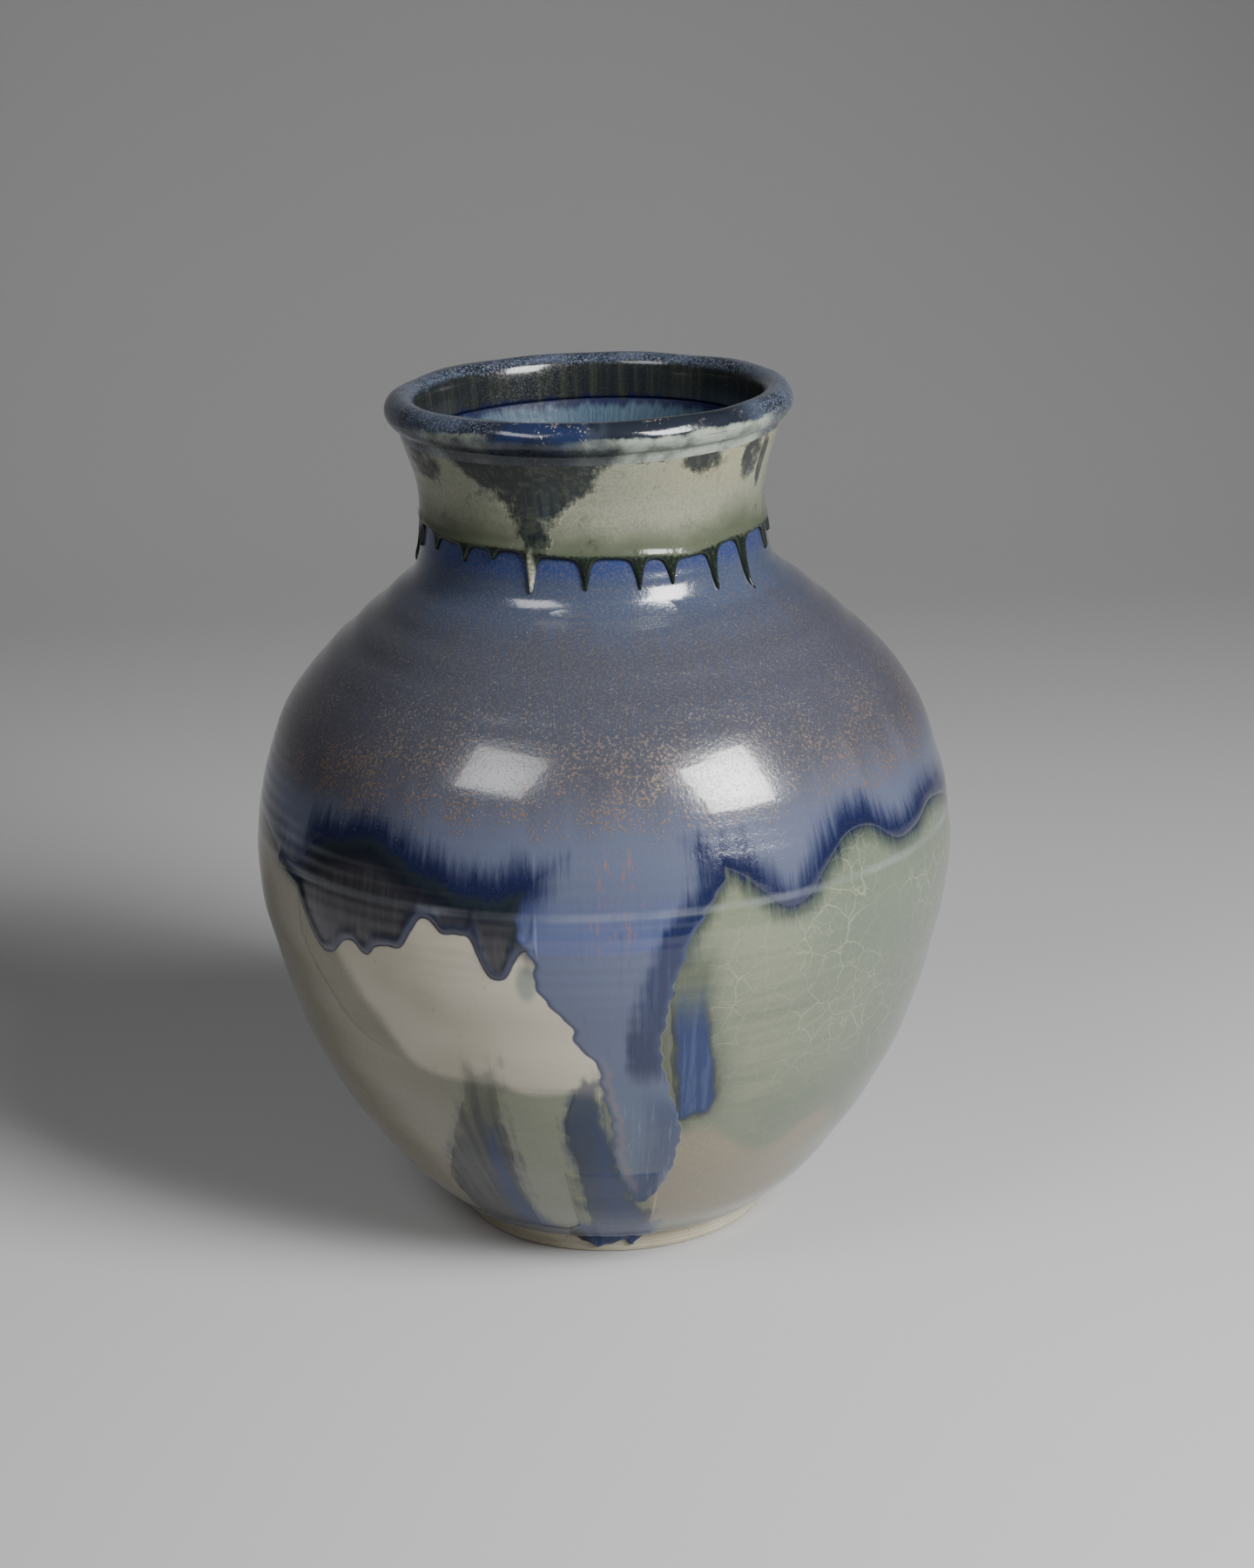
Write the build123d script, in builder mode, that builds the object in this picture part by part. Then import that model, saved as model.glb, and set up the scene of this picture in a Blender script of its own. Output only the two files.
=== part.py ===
from build123d import *
from math import cos, hypot, radians, sin
import os

# Stoneware bottle vase, 280 mm tall and 230 mm wide. The clay is thrown in sections that are luted
# together with stepped joints, and the glaze lies over it in thin coats, one for each pour.
# +Z is the axis of the wheel, the foot stands on Z = 0 and the front faces -Y. Millimetres.

# Driving dimensions
vase_height = 280.0
belly_radius = 115.0

# Thickness of the glaze, measured outwards from the clay
first_coat = 0.8
second_coat = 1.4
neck_under_coat = 0.7
neck_over_coat = 1.4
rim_coat_thickness = 0.6
inside_coat = 0.6

# How many times thicker the neck's coats are in the corner over the shoulder
corner_pooling = 2.2

# Foot and floor
foot_radius = 50.6
foot_inner_radius = 41.5
foot_height = 8.0
foot_flare = 0.6
foot_chamfer = 1.0
recess_height = 5.0
floor_height = 14.0
floor_radius = 40.0
flange_radius = 43.0
flange_height = 10.5
foot_tongue_inner = 45.0
foot_tongue_outer = 48.0
tongue_height = 1.5

# Joints between the thrown sections
belly_seam = 128.0
belly_seam_radius = 110.4
belly_step = 2.0
shoulder_height = 221.5
shoulder_seam_radius = 53.8
shoulder_step = 2.0
rim_seam = 265.5
rim_tongue_inner = 56.0
rim_tongue_outer = 57.6
mouth_band_height = 254.0

# Rolled rim
roll_radius = 4.5
roll_centre_radius = 60.2
roll_centre_height = vase_height - roll_radius - rim_coat_thickness
roll_throat_radius = 61.4
roll_throat_drop = 4.0

# Profiles of the clay, as (radius, height). The belly's radii are shares of its widest one.
clay_belly_radius = belly_radius - first_coat
belly_shares = (
    (0.477, foot_height),
    (0.565, 16.0),
    (0.706, 35.0),
    (0.849, 62.0),
    (0.949, 95.0),
    (1.000, 127.0),
    (0.966, 155.0),
    (0.859, 184.0),
    (0.660, 207.0),
    (0.503, shoulder_height),
)
belly_profile = [(share * clay_belly_radius, height) for share, height in belly_shares]
neck_profile = (
    (belly_profile[-1][0], shoulder_height),
    (55.6, 229.0),
    (54.3, 240.0),
    (54.9, 252.0),
    (58.8, rim_seam),
)
inside_profile = (
    (floor_radius, floor_height),
    (58.0, 21.0),
    (81.0, 49.0),
    (99.0, 85.0),
    (107.4, 127.0),
    (103.5, 157.0),
    (90.0, 183.0),
    (68.0, 204.5),
    (52.0, 218.0),
    (49.0, 229.0),
    (48.2, 242.0),
    (50.5, 256.0),
    (54.9, rim_seam),
)
far_out = 150.0

# Pours. Azimuths are degrees from the front, positive to the right. Sizes and heights are mm.
# A drip is (azimuth, width, height of its tip).
pour_line = 158.0
pour_drips = (
    (-60, 26, 139),
    (-24, 30, 149),
    (31, 15, 136),
    (59, 30, 148),
    (84, 24, 142),
    (106, 30, 135),
    (131, 26, 147),
    (154, 22, 138),
    (176, 30, 130),
    (201, 26, 145),
    (222, 20, 137),
    (243, 30, 148),
    (264, 22, 133),
    (282, 18, 143),
)
collar_line = 236.0
collar_drips = (
    (-62, 12, 227),
    (-46, 10, 230),
    (-34, 9, 231),
    (-20, 11, 225),
    (-4, 11, 226),
    (14, 10, 225),
    (26, 9, 227),
    (41, 12, 223),
    (57, 12, 223),
    (75, 11, 226),
    (92, 12, 229),
    (110, 10, 224),
    (127, 12, 227),
    (146, 11, 225),
    (164, 12, 229),
    (183, 10, 224),
    (202, 13, 226),
    (221, 11, 230),
    (240, 12, 225),
    (259, 11, 228),
    (279, 12, 224),
)
beaded_edge = (
    (-64, 138),
    (-57, 134),
    (-52, 119),
    (-44, 125),
    (-36, 127),
    (-30, 136),
    (-22, 134),
    (-17, 122),
    (-13, 128),
    (2, 124),
)
cream_foot = ((2, 87), (-20, 82), (-36, 86), (-50, 98), (-58, 114), (-64, 138))
tongue_left = ((-11, pour_line), (-10, 136), (-11, 114), (-6, 103), (-2, 87), (0, 64), (2, 42), (5, 31))
tongue_right = ((5, 31), (10, 40), (12, 60), (8, 90), (8, 128), (14, 143), (20, pour_line))
run_corner = 3.0
side_run_place = (15, 100)
side_run_size = (15, 68)
low_left_place = (-20, 47)
low_left_size = (17, 72)
low_middle_place = (-4, 48)
low_middle_size = (12, 72)
pool_place = (1, 28)
pool_size = (19, 40)
pool_toe_height = 3.5
pool_toe_depth = 1.6
pool_toe_lip = 1.0
pool_toe_start = -15.0
pool_toe_sweep = 22.0
ledge_pool_height = 13.0
ledge_pool_start = -50.0
ledge_pool_sweep = 24.0


def lifted(points, lift, foot_lift):
    # Moves a profile outwards. Its two ends move level, so that stacked coats end in one plane.
    moved = [(points[0][0] + foot_lift, points[0][1])]
    for before, (radius, height), after in zip(points, points[1:], points[2:]):
        run = after[0] - before[0]
        rise = after[1] - before[1]
        length = hypot(run, rise)
        moved.append((radius + lift * rise / length, height - lift * run / length))
    moved.append((points[-1][0] + lift, points[-1][1]))
    return moved


def belly_coat(lift):
    return lifted(belly_profile, lift, lift)


def neck_coat(lift):
    # Glaze on the neck thickens where it runs down into the corner over the shoulder
    return lifted(neck_profile, lift, lift * corner_pooling)


def inside_liner(lift):
    wall = lifted(inside_profile, -lift, -lift)
    return [(floor_radius - lift, floor_height + lift)] + wall[1:]


def turned_shell(outer, inner):
    # Solid of revolution between two profiles that start and end at the same heights
    with BuildPart() as shell:
        with BuildSketch(Plane.XZ):
            with BuildLine():
                Spline(*outer)
                Spline(*inner)
                Line(outer[0], inner[0])
                Line(outer[-1], inner[-1])
            make_face()
        revolve(axis=Axis.Z)
    return shell.part


def turned(*points):
    # Solid of revolution of a straight-sided section
    with BuildPart() as ring:
        with BuildSketch(Plane.XZ):
            with BuildLine():
                Polyline(*points, close=True)
            make_face()
        revolve(axis=Axis.Z)
    return ring.part


def radius_at(height):
    for (low_radius, low), (high_radius, high) in zip(belly_profile, belly_profile[1:]):
        if low <= height <= high:
            return low_radius + (high_radius - low_radius) * (height - low) / (high - low)
    return belly_radius


def seen_from_front(points):
    # Points of the belly given by azimuth and height, as they stand in the XZ plane
    return [(radius_at(height) * sin(radians(azimuth)), height) for azimuth, height in points]


def radial_plane(azimuth):
    # Plane through the axis whose X points outwards at the azimuth
    turn = radians(azimuth)
    return Plane(origin=(0, 0, 0), x_dir=(sin(turn), -cos(turn), 0), z_dir=(-cos(turn), -sin(turn), 0))


def drip(azimuth, width, top, tip):
    # Round-ended bar pointing outwards from the axis, with the outline of one drip
    turn = radians(azimuth)
    face = Plane(origin=(0, 0, 0), x_dir=(cos(turn), sin(turn), 0), z_dir=(sin(turn), -cos(turn), 0))
    middle = (top + width + tip) / 2
    with BuildPart() as bar:
        with BuildSketch(face):
            with Locations((0, middle)):
                SlotOverall(top + width - tip, width, rotation=90)
        extrude(amount=far_out)
        split(bisect_by=Plane.XY.offset(top), keep=Keep.BOTTOM)
    return bar.part


def pour_outline(line, drips, top):
    # Everything above a level line, with the drips that hang from it
    with BuildPart() as outline:
        with Locations((0, 0, (line + top) / 2)):
            Cylinder(far_out, top - line)
        for azimuth, width, tip in drips:
            add(drip(azimuth, width, line, tip))
    return outline.part


def upright_run(place, size):
    # Round-cornered bar to the front, with the outline of a straight run of glaze
    centre = seen_from_front([place])[0]
    with BuildPart() as bar:
        with BuildSketch(Plane.XZ):
            with Locations(centre):
                RectangleRounded(*size, run_corner)
        extrude(amount=far_out)
    return bar.part


def save(piece, name):
    piece.label = name
    export_step(piece, os.path.join("parts", name + ".step"))


os.makedirs("parts", exist_ok=True)

# ---- Clay body ----

# Foot ring, turned bare, with a tongue that keys into the wall above
with BuildPart() as foot_ring:
    with BuildSketch(Plane.XZ):
        with BuildLine():
            Polyline(
                (foot_inner_radius + foot_chamfer, 0),
                (foot_radius - foot_chamfer, 0),
                (foot_radius, foot_chamfer),
                (foot_radius + foot_flare, foot_height),
                (foot_tongue_outer, foot_height),
                (foot_tongue_outer, foot_height + tongue_height),
                (foot_tongue_inner, foot_height + tongue_height),
                (foot_tongue_inner, foot_height),
                (foot_inner_radius, foot_height),
                (foot_inner_radius, foot_chamfer),
                close=True,
            )
        make_face()
    revolve(axis=Axis.Z)
save(foot_ring.part, "foot_ring")

# Floor disc, with a flange held between the foot ring and the wall
with BuildPart() as floor_disc:
    with BuildSketch(Plane.XZ):
        with BuildLine():
            Polyline(
                (0, recess_height),
                (foot_inner_radius, recess_height),
                (foot_inner_radius, foot_height),
                (flange_radius, foot_height),
                (flange_radius, flange_height),
                (floor_radius, flange_height),
                (floor_radius, floor_height),
                (0, floor_height),
                close=True,
            )
        make_face()
    revolve(axis=Axis.Z)
save(floor_disc.part, "floor_disc")

# The whole wall from the foot to the rim's seam, cut below into the thrown sections
with BuildPart() as whole_wall:
    with BuildSketch(Plane.XZ):
        with BuildLine():
            Spline(*belly_profile)
            Spline(*neck_profile)
            Line(neck_profile[-1], inside_profile[-1])
            Spline(*inside_profile)
            Line(inside_profile[0], (floor_radius, foot_height))
            Line((floor_radius, foot_height), belly_profile[0])
        make_face()
    revolve(axis=Axis.Z)

lower_zone = turned(
    (flange_radius, foot_height),
    (far_out, foot_height),
    (far_out, belly_seam - belly_step),
    (belly_seam_radius, belly_seam - belly_step),
    (belly_seam_radius, belly_seam + belly_step),
    (0, belly_seam + belly_step),
    (0, flange_height),
    (flange_radius, flange_height),
)
upper_zone = turned(
    (0, belly_seam + belly_step),
    (belly_seam_radius, belly_seam + belly_step),
    (belly_seam_radius, belly_seam - belly_step),
    (far_out, belly_seam - belly_step),
    (far_out, shoulder_height),
    (shoulder_seam_radius, shoulder_height),
    (shoulder_seam_radius, shoulder_height + shoulder_step),
    (0, shoulder_height + shoulder_step),
)
neck_zone = turned(
    (0, shoulder_height + shoulder_step),
    (shoulder_seam_radius, shoulder_height + shoulder_step),
    (shoulder_seam_radius, shoulder_height),
    (far_out, shoulder_height),
    (far_out, rim_seam),
    (0, rim_seam),
)
foot_tongue = turned(
    (foot_tongue_inner, foot_height),
    (foot_tongue_outer, foot_height),
    (foot_tongue_outer, foot_height + tongue_height),
    (foot_tongue_inner, foot_height + tongue_height),
)
rim_tongue = turned(
    (rim_tongue_inner, rim_seam),
    (rim_tongue_outer, rim_seam),
    (rim_tongue_outer, rim_seam + tongue_height),
    (rim_tongue_inner, rim_seam + tongue_height),
)

with BuildPart() as lower_wall:
    add(whole_wall.part)
    add(lower_zone, mode=Mode.INTERSECT)
    add(foot_tongue, mode=Mode.SUBTRACT)
save(lower_wall.part, "lower_wall")

with BuildPart() as upper_wall:
    add(whole_wall.part)
    add(upper_zone, mode=Mode.INTERSECT)
save(upper_wall.part, "upper_wall")

with BuildPart() as neck_collar:
    add(whole_wall.part)
    add(neck_zone, mode=Mode.INTERSECT)
    add(rim_tongue)
save(neck_collar.part, "neck_collar")


def rim_section(thickness):
    # Rolled rim on its short flared stem, as a solid of revolution
    with BuildPart() as ring:
        with BuildSketch(Plane.XZ):
            with BuildLine():
                Polyline(
                    (inside_profile[-1][0] - thickness, rim_seam),
                    (neck_profile[-1][0] + neck_over_coat * thickness / rim_coat_thickness, rim_seam),
                    (roll_throat_radius + thickness, roll_centre_height - roll_throat_drop),
                    (roll_centre_radius, roll_centre_height),
                    (roll_centre_radius - roll_radius - thickness, roll_centre_height),
                    close=True,
                )
            make_face()
            with Locations((roll_centre_radius, roll_centre_height)):
                Circle(roll_radius + thickness)
        revolve(axis=Axis.Z)
    return ring.part


with BuildPart() as rim_roll:
    add(rim_section(0))
    add(rim_tongue, mode=Mode.SUBTRACT)
save(rim_roll.part, "rim_roll")

# ---- Glaze inside ----

with BuildPart() as liner:
    with BuildSketch(Plane.XZ):
        with BuildLine():
            clay_side = Spline(*inside_profile)
            glass_side = Spline(*inside_liner(inside_coat))
            Line(clay_side @ 1, glass_side @ 1)
            Polyline(clay_side @ 0, (0, floor_height), (0, floor_height + inside_coat), glass_side @ 0)
        make_face()
    revolve(axis=Axis.Z)

with BuildPart() as inside_liner_coat:
    add(liner.part)
    split(bisect_by=Plane.XY.offset(mouth_band_height), keep=Keep.BOTTOM)
save(inside_liner_coat.part, "inside_liner_coat")

with BuildPart() as mouth_band_coat:
    add(liner.part)
    split(bisect_by=Plane.XY.offset(mouth_band_height), keep=Keep.TOP)
save(mouth_band_coat.part, "mouth_band_coat")

# ---- Glaze outside ----

# Celadon over the whole belly
with BuildPart() as celadon_coat:
    add(turned_shell(belly_coat(first_coat), belly_profile))
save(celadon_coat.part, "celadon_coat")

over_layer = turned_shell(belly_coat(second_coat), belly_coat(first_coat))

# Blue pour over the neck and the shoulder, hanging in drips above the widest line
with BuildPart() as blue_pour_coat:
    add(over_layer)
    add(pour_outline(pour_line, pour_drips, shoulder_height), mode=Mode.INTERSECT)
    add(turned_shell(neck_coat(neck_under_coat), neck_profile))
save(blue_pour_coat.part, "blue_pour_coat")

# Long tongue of blue that runs down the front
with BuildPart() as front_tongue:
    with BuildSketch(Plane.XZ):
        with BuildLine():
            left_side = Spline(*seen_from_front(tongue_left))
            right_side = Spline(*seen_from_front(tongue_right))
            Line(left_side @ 0, right_side @ 1)
        make_face()
    extrude(amount=far_out)
    add(over_layer, mode=Mode.INTERSECT)
save(front_tongue.part, "front_tongue")

with BuildPart() as side_run:
    add(over_layer)
    add(upright_run(side_run_place, side_run_size), mode=Mode.INTERSECT)
    add(front_tongue.part, mode=Mode.SUBTRACT)
save(side_run.part, "side_run")

with BuildPart() as low_run_middle:
    add(over_layer)
    add(upright_run(low_middle_place, low_middle_size), mode=Mode.INTERSECT)
    add(front_tongue.part, mode=Mode.SUBTRACT)
save(low_run_middle.part, "low_run_middle")

with BuildPart() as low_run_left:
    add(over_layer)
    add(upright_run(low_left_place, low_left_size), mode=Mode.INTERSECT)
save(low_run_left.part, "low_run_left")

# Blue pool low on the front, with a toe that hangs over the foot ring
toe_share = (pool_toe_height - foot_chamfer) / (foot_height - foot_chamfer)
toe_radius = foot_radius + foot_flare * toe_share
with BuildPart() as pool_toe:
    with BuildSketch(radial_plane(pool_toe_start)):
        with BuildLine():
            Polyline(
                (foot_radius + foot_flare, foot_height),
                (toe_radius, pool_toe_height),
                (toe_radius + pool_toe_depth, pool_toe_height + pool_toe_lip),
                (belly_profile[0][0] + second_coat, foot_height),
                close=True,
            )
        make_face()
    revolve(axis=Axis.Z, revolution_arc=pool_toe_sweep)

with BuildPart() as foot_pool:
    add(over_layer)
    add(upright_run(pool_place, pool_size), mode=Mode.INTERSECT)
    add(front_tongue.part, mode=Mode.SUBTRACT)
    add(low_run_middle.part, mode=Mode.SUBTRACT)
    add(pool_toe.part)
save(foot_pool.part, "foot_pool")

# Dark glass gathered on the ledge over the foot, left of the front
with BuildPart() as ledge_pool:
    with BuildSketch(radial_plane(ledge_pool_start)):
        with BuildLine():
            under = Spline(*belly_coat(first_coat))
            upper = Spline(*belly_coat(second_coat))
            Line(under @ 0, upper @ 0)
            Line(under @ 1, upper @ 1)
        make_face()
        with Locations((0, (foot_height + ledge_pool_height) / 2)):
            Rectangle(far_out * 2, ledge_pool_height - foot_height, mode=Mode.INTERSECT)
    revolve(axis=Axis.Z, revolution_arc=ledge_pool_sweep)
    add(low_run_left.part, mode=Mode.SUBTRACT)
save(ledge_pool.part, "ledge_pool")

# Thin dark glass where the blue overlaps the cream, with a beaded lower edge
with BuildPart() as overlap_band:
    with BuildSketch(Plane.XZ):
        with BuildLine():
            beads = Spline(*seen_from_front(beaded_edge))
            far_left = (beads @ 0).X
            far_right = (beads @ 1).X
            Polyline(beads @ 1, (far_right, pour_line), (far_left, pour_line), beads @ 0)
        make_face()
    extrude(amount=far_out)
    add(over_layer, mode=Mode.INTERSECT)
    add(front_tongue.part, mode=Mode.SUBTRACT)
    add(blue_pour_coat.part, mode=Mode.SUBTRACT)
save(overlap_band.part, "overlap_band")

with BuildPart() as cream_patch:
    with BuildSketch(Plane.XZ):
        with BuildLine():
            beads = Spline(*seen_from_front(beaded_edge))
            foot_side = Spline(*seen_from_front(cream_foot))
            Line(beads @ 1, foot_side @ 0)
        make_face()
    extrude(amount=far_out)
    add(over_layer, mode=Mode.INTERSECT)
    add(front_tongue.part, mode=Mode.SUBTRACT)
    add(low_run_left.part, mode=Mode.SUBTRACT)
    add(low_run_middle.part, mode=Mode.SUBTRACT)
save(cream_patch.part, "cream_patch")

# Pale coat over the neck, scalloped where it drips over the blue
with BuildPart() as collar_coat:
    add(turned_shell(neck_coat(neck_over_coat), neck_coat(neck_under_coat)))
    add(pour_outline(collar_line, collar_drips, rim_seam), mode=Mode.INTERSECT)
save(collar_coat.part, "collar_coat")

with BuildPart() as rim_coat:
    add(rim_section(rim_coat_thickness))
    add(rim_section(0), mode=Mode.SUBTRACT)
save(rim_coat.part, "rim_coat")
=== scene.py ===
# Stoneware bottle vase under runny blue, celadon and cream glazes.
# Lengths are millimetres until a mesh is written. Azimuths are degrees from the front, positive to the right.
import math

import bmesh
import bpy
import numpy as np
from mathutils import Euler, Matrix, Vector


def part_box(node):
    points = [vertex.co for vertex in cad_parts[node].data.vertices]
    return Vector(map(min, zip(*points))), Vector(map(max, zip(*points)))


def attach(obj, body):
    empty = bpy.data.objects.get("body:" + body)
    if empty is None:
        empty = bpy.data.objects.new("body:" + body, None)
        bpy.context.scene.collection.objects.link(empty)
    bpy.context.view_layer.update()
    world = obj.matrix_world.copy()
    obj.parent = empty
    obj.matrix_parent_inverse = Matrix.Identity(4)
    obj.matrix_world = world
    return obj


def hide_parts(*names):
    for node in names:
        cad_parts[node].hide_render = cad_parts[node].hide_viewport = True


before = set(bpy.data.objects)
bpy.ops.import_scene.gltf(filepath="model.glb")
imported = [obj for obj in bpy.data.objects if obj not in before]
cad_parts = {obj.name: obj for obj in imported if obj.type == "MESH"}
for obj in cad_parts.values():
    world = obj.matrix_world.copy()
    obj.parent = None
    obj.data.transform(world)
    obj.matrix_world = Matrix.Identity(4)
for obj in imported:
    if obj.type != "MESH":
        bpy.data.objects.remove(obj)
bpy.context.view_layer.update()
metre = 0.001

# ---- driving sizes, read from the frame ----

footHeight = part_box("celadon_coat")[0][2] / metre
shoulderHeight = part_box("celadon_coat")[1][2] / metre
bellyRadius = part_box("celadon_coat")[1][0] / metre
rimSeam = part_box("collar_coat")[1][2] / metre
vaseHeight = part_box("rim_coat")[1][2] / metre
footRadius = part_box("foot_ring")[1][0] / metre

baseCoat = 0.8
clayBelly = bellyRadius - baseCoat
bellyShape = (
    (footHeight, 0.477),
    (16.0, 0.565),
    (35.0, 0.706),
    (62.0, 0.849),
    (95.0, 0.949),
    (127.0, 1.000),
    (155.0, 0.966),
    (184.0, 0.859),
    (207.0, 0.660),
    (shoulderHeight, 0.503),
)
bellyCurve = [(height, share * clayBelly) for height, share in bellyShape]
neckCurve = [(shoulderHeight, 57.4), (229.0, 55.6), (240.0, 54.3), (252.0, 54.9), (rimSeam, 58.8)]
insideCurve = [(14.0, 40.0), (21.0, 58.0), (49.0, 81.0), (85.0, 99.0), (127.0, 107.4), (157.0, 103.5),
               (183.0, 90.0), (204.5, 68.0), (218.0, 52.0), (229.0, 49.0), (242.0, 48.2), (256.0, 50.5),
               (rimSeam, 54.9)]

# ---- edges of the pours: (azimuth, height) ----

pourEdge = [(-180, 133), (-168, 131), (-158, 143), (-146, 138), (-133, 149), (-120, 136), (-108, 147),
            (-96, 132), (-84, 145), (-74, 147), (-66, 143), (-61, 140), (-57, 141), (-54, 148), (-50, 153),
            (-45, 156), (-40, 158), (-36, 156), (-31, 151), (-26, 148), (-21, 145), (-17, 145), (-12, 148),
            (-4, 147), (6, 147), (12, 150), (16, 152), (21, 149), (24, 144), (28, 137), (33, 138),
            (37, 146), (42, 153), (48, 153), (54, 146), (60, 146), (68, 150), (75, 148), (84, 143),
            (95, 150), (106, 136), (119, 148), (131, 145), (143, 150), (154, 138), (165, 146), (180, 133)]
beadEdge = [(-66, 139), (-62, 137), (-57, 133), (-54, 124), (-51, 118), (-48, 119), (-45, 124),
            (-43, 124.5), (-41.5, 122), (-40, 121.5), (-38.5, 124.5), (-36, 126), (-33, 127), (-31, 133),
            (-29.5, 137), (-28, 137), (-26, 133.5), (-23, 133.5), (-21, 132), (-19.6, 125), (-18.6, 121.3),
            (-17, 119.8), (-15.4, 121.3), (-14.4, 125), (-13.2, 129), (-12, 129.5), (-11.2, 127),
            (-10.6, 122)]
tongueLeft = [(29, 6), (33, 4.2), (42, 1.6), (48, 0.4), (55, 0.0), (64, -0.2), (71, -0.4), (79, -1.4),
              (85, -2.2), (88, -1.9), (93, -3.3), (99, -5.6), (104, -6.2), (111, -8.8), (116, -10.6),
              (121, -11.2), (127, -11.6), (134, -13.4), (150, -12.6), (165, -11)]
tongueRight = [(29, 6), (33, 8), (41, 10.4), (50, 11.8), (59, 12.2), (70, 11.4), (80, 9.4), (90, 8.2),
               (100, 8.2), (111, 9.2), (122, 10.8), (132, 12.6), (140, 15.6), (150, 18.6), (165, 18)]
lowLeftPath = [(6, -33.5, 12), (20, -32.5, 13.5), (38, -30, 13.5), (55, -26.5, 10.5), (70, -24, 7.5),
               (86, -22.5, 5.4)]
blueStreakPath = [(6, -20.5, 6.5), (18, -23, 5.2), (30, -24.5, 4.2), (45, -24, 3.4), (62, -23, 1.6)]
lowMiddlePath = [(6, 0.5, 9), (20, 0.5, 10), (36, -2, 8.6), (47, -3, 7.6), (63, -5, 6.7), (76, -5, 5.2),
                 (84, -3.5, 3)]
sideRunPath = [(66, 13.6, 5.8), (74, 14.2, 7.2), (84, 14.0, 7.6), (96, 13.2, 7.2), (110, 12.6, 6.6),
               (126, 13.4, 5.6)]
smokePath = [(230, -21, 1.8), (240, -20.5, 3.4), (249, -19.5, 6), (256, -17.5, 12), (264, -20, 24),
             (272, -21, 31)]
# Dark patches under the lip, one of them a band all the way round just under the roll: (azimuth, height, half
# width, half height in mm, strength)
darkPatches = [(34, 268, 10, 7, 0.9), (58, 262, 6, 9, 0.8), (67, 262, 3, 14, 0.8), (0, 274, 260, 7.5, 0.85),
          (-62, 264, 12, 7, 0.8), (98, 262, 14, 12, 0.7), (140, 258, 7, 18, 0.7), (178, 264, 24, 12, 0.7),
          (-135, 260, 12, 15, 0.7), (-95, 264, 10, 10, 0.7)]
collarTop = [(-180, 236), (-120, 237), (-74, 240), (-55, 238), (-40, 238), (-27, 238), (-12, 236.5),
             (5, 236), (19, 235), (32, 234), (47, 236), (62, 236), (90, 236), (130, 235), (180, 236)]
collarDrips = [(-62, 234), (-46, 233), (-34, 235), (-20.5, 225.5), (-3, 226.5), (14, 226), (25, 226.5),
               (41, 222), (56, 219.5), (75, 228), (92, 230), (108, 225), (126, 228), (144, 224), (161, 229),
               (179, 226), (-163, 223), (-146, 230), (-129, 225), (-112, 229), (-95, 223), (-78, 232)]

footPool = {"low": 3.4, "high": 46.0, "left": -10.5, "right": 9.5, "spread": 6.5, "overHang": 1.7}

# ---- small tools ----


def through(points, at):
    # Smooth curve through given points, carried on straight past its ends
    x = np.array([p[0] for p in points], float)
    y = np.array([p[1] for p in points], float)
    slope = np.gradient(y, x)
    held = np.clip(at, x[0], x[-1])
    k = np.clip(np.searchsorted(x, held, side="right") - 1, 0, len(x) - 2)
    gap = x[k + 1] - x[k]
    t = (held - x[k]) / gap
    curve = (2 * t**3 - 3 * t**2 + 1) * y[k] + (t**3 - 2 * t**2 + t) * gap * slope[k]
    curve = curve + (3 * t**2 - 2 * t**3) * y[k + 1] + (t**3 - t**2) * gap * slope[k + 1]
    endSlope = np.where(at < held, slope[0], slope[-1])
    return curve + (at - held) * endSlope


def ease(value, low, high):
    t = np.clip((value - low) / (high - low), 0.0, 1.0)
    return t * t * (3.0 - 2.0 * t)


def roundEdge(inside, width):
    # Quarter-round edge of a coat: 0 on its outline, 1 once it is a width inside
    t = np.clip(inside / width, 0.0, 1.0)
    return np.sqrt(1.0 - (1.0 - t) ** 2)


def clayRadius(height):
    belly = through(bellyCurve, height)
    neck = through(neckCurve, height)
    fillet = 2.2
    joined = (belly + neck + np.sqrt((belly - neck) ** 2 + fillet**2)) / 2
    joined = np.where(height > shoulderHeight + 16, neck, joined)
    return np.where(height < shoulderHeight - 16, belly, joined)


def relief(around, height):
    # Throwing lines climb the wall as a slow spiral, and the whole pot is a little out of round
    turn = np.radians(around)
    climb = height + 4.4 * around / 360.0
    lines = np.sin(climb * 2 * np.pi / 4.4 + 0.9 * np.sin(turn * 2 + height / 31.0))
    strength = 0.022 + 0.02 * np.sin(height / 17.0 + 1.3 * np.sin(turn))
    strength = strength + 0.012 * np.sin(turn * 3 + height / 9.0)
    strength = strength * (0.25 + 0.75 * ease(height, 45, 95))
    finger = 0.34 * np.sin(climb * 2 * np.pi / 9.3 + 0.6)
    finger = finger * ease(height, 186, 204) * (1 - ease(height, 218, 224))
    broad = 0.12 * np.sin(climb * 2 * np.pi / 21.0 + np.sin(turn))
    step = 0.1 * ease(height, 139.3, 140.2) * (1 - ease(height, 140.4, 150))
    wobble = 0.28 * np.sin(turn * 2 + 0.7 + height / 90.0) + 0.12 * np.sin(turn * 3 + height / 40.0)
    calm = 1 - 0.7 * ease(height, 224, 232)
    total = lines * strength + finger + broad * calm + step + wobble
    total = total * ease(height, footHeight - 2, footHeight + 14)
    return np.clip(total, -0.5, 0.5)


def arc(around, middle, height):
    # Signed distance along the wall from an azimuth, in mm
    apart = (around - middle + 180.0) % 360.0 - 180.0
    return np.radians(apart) * clayRadius(height)


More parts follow.
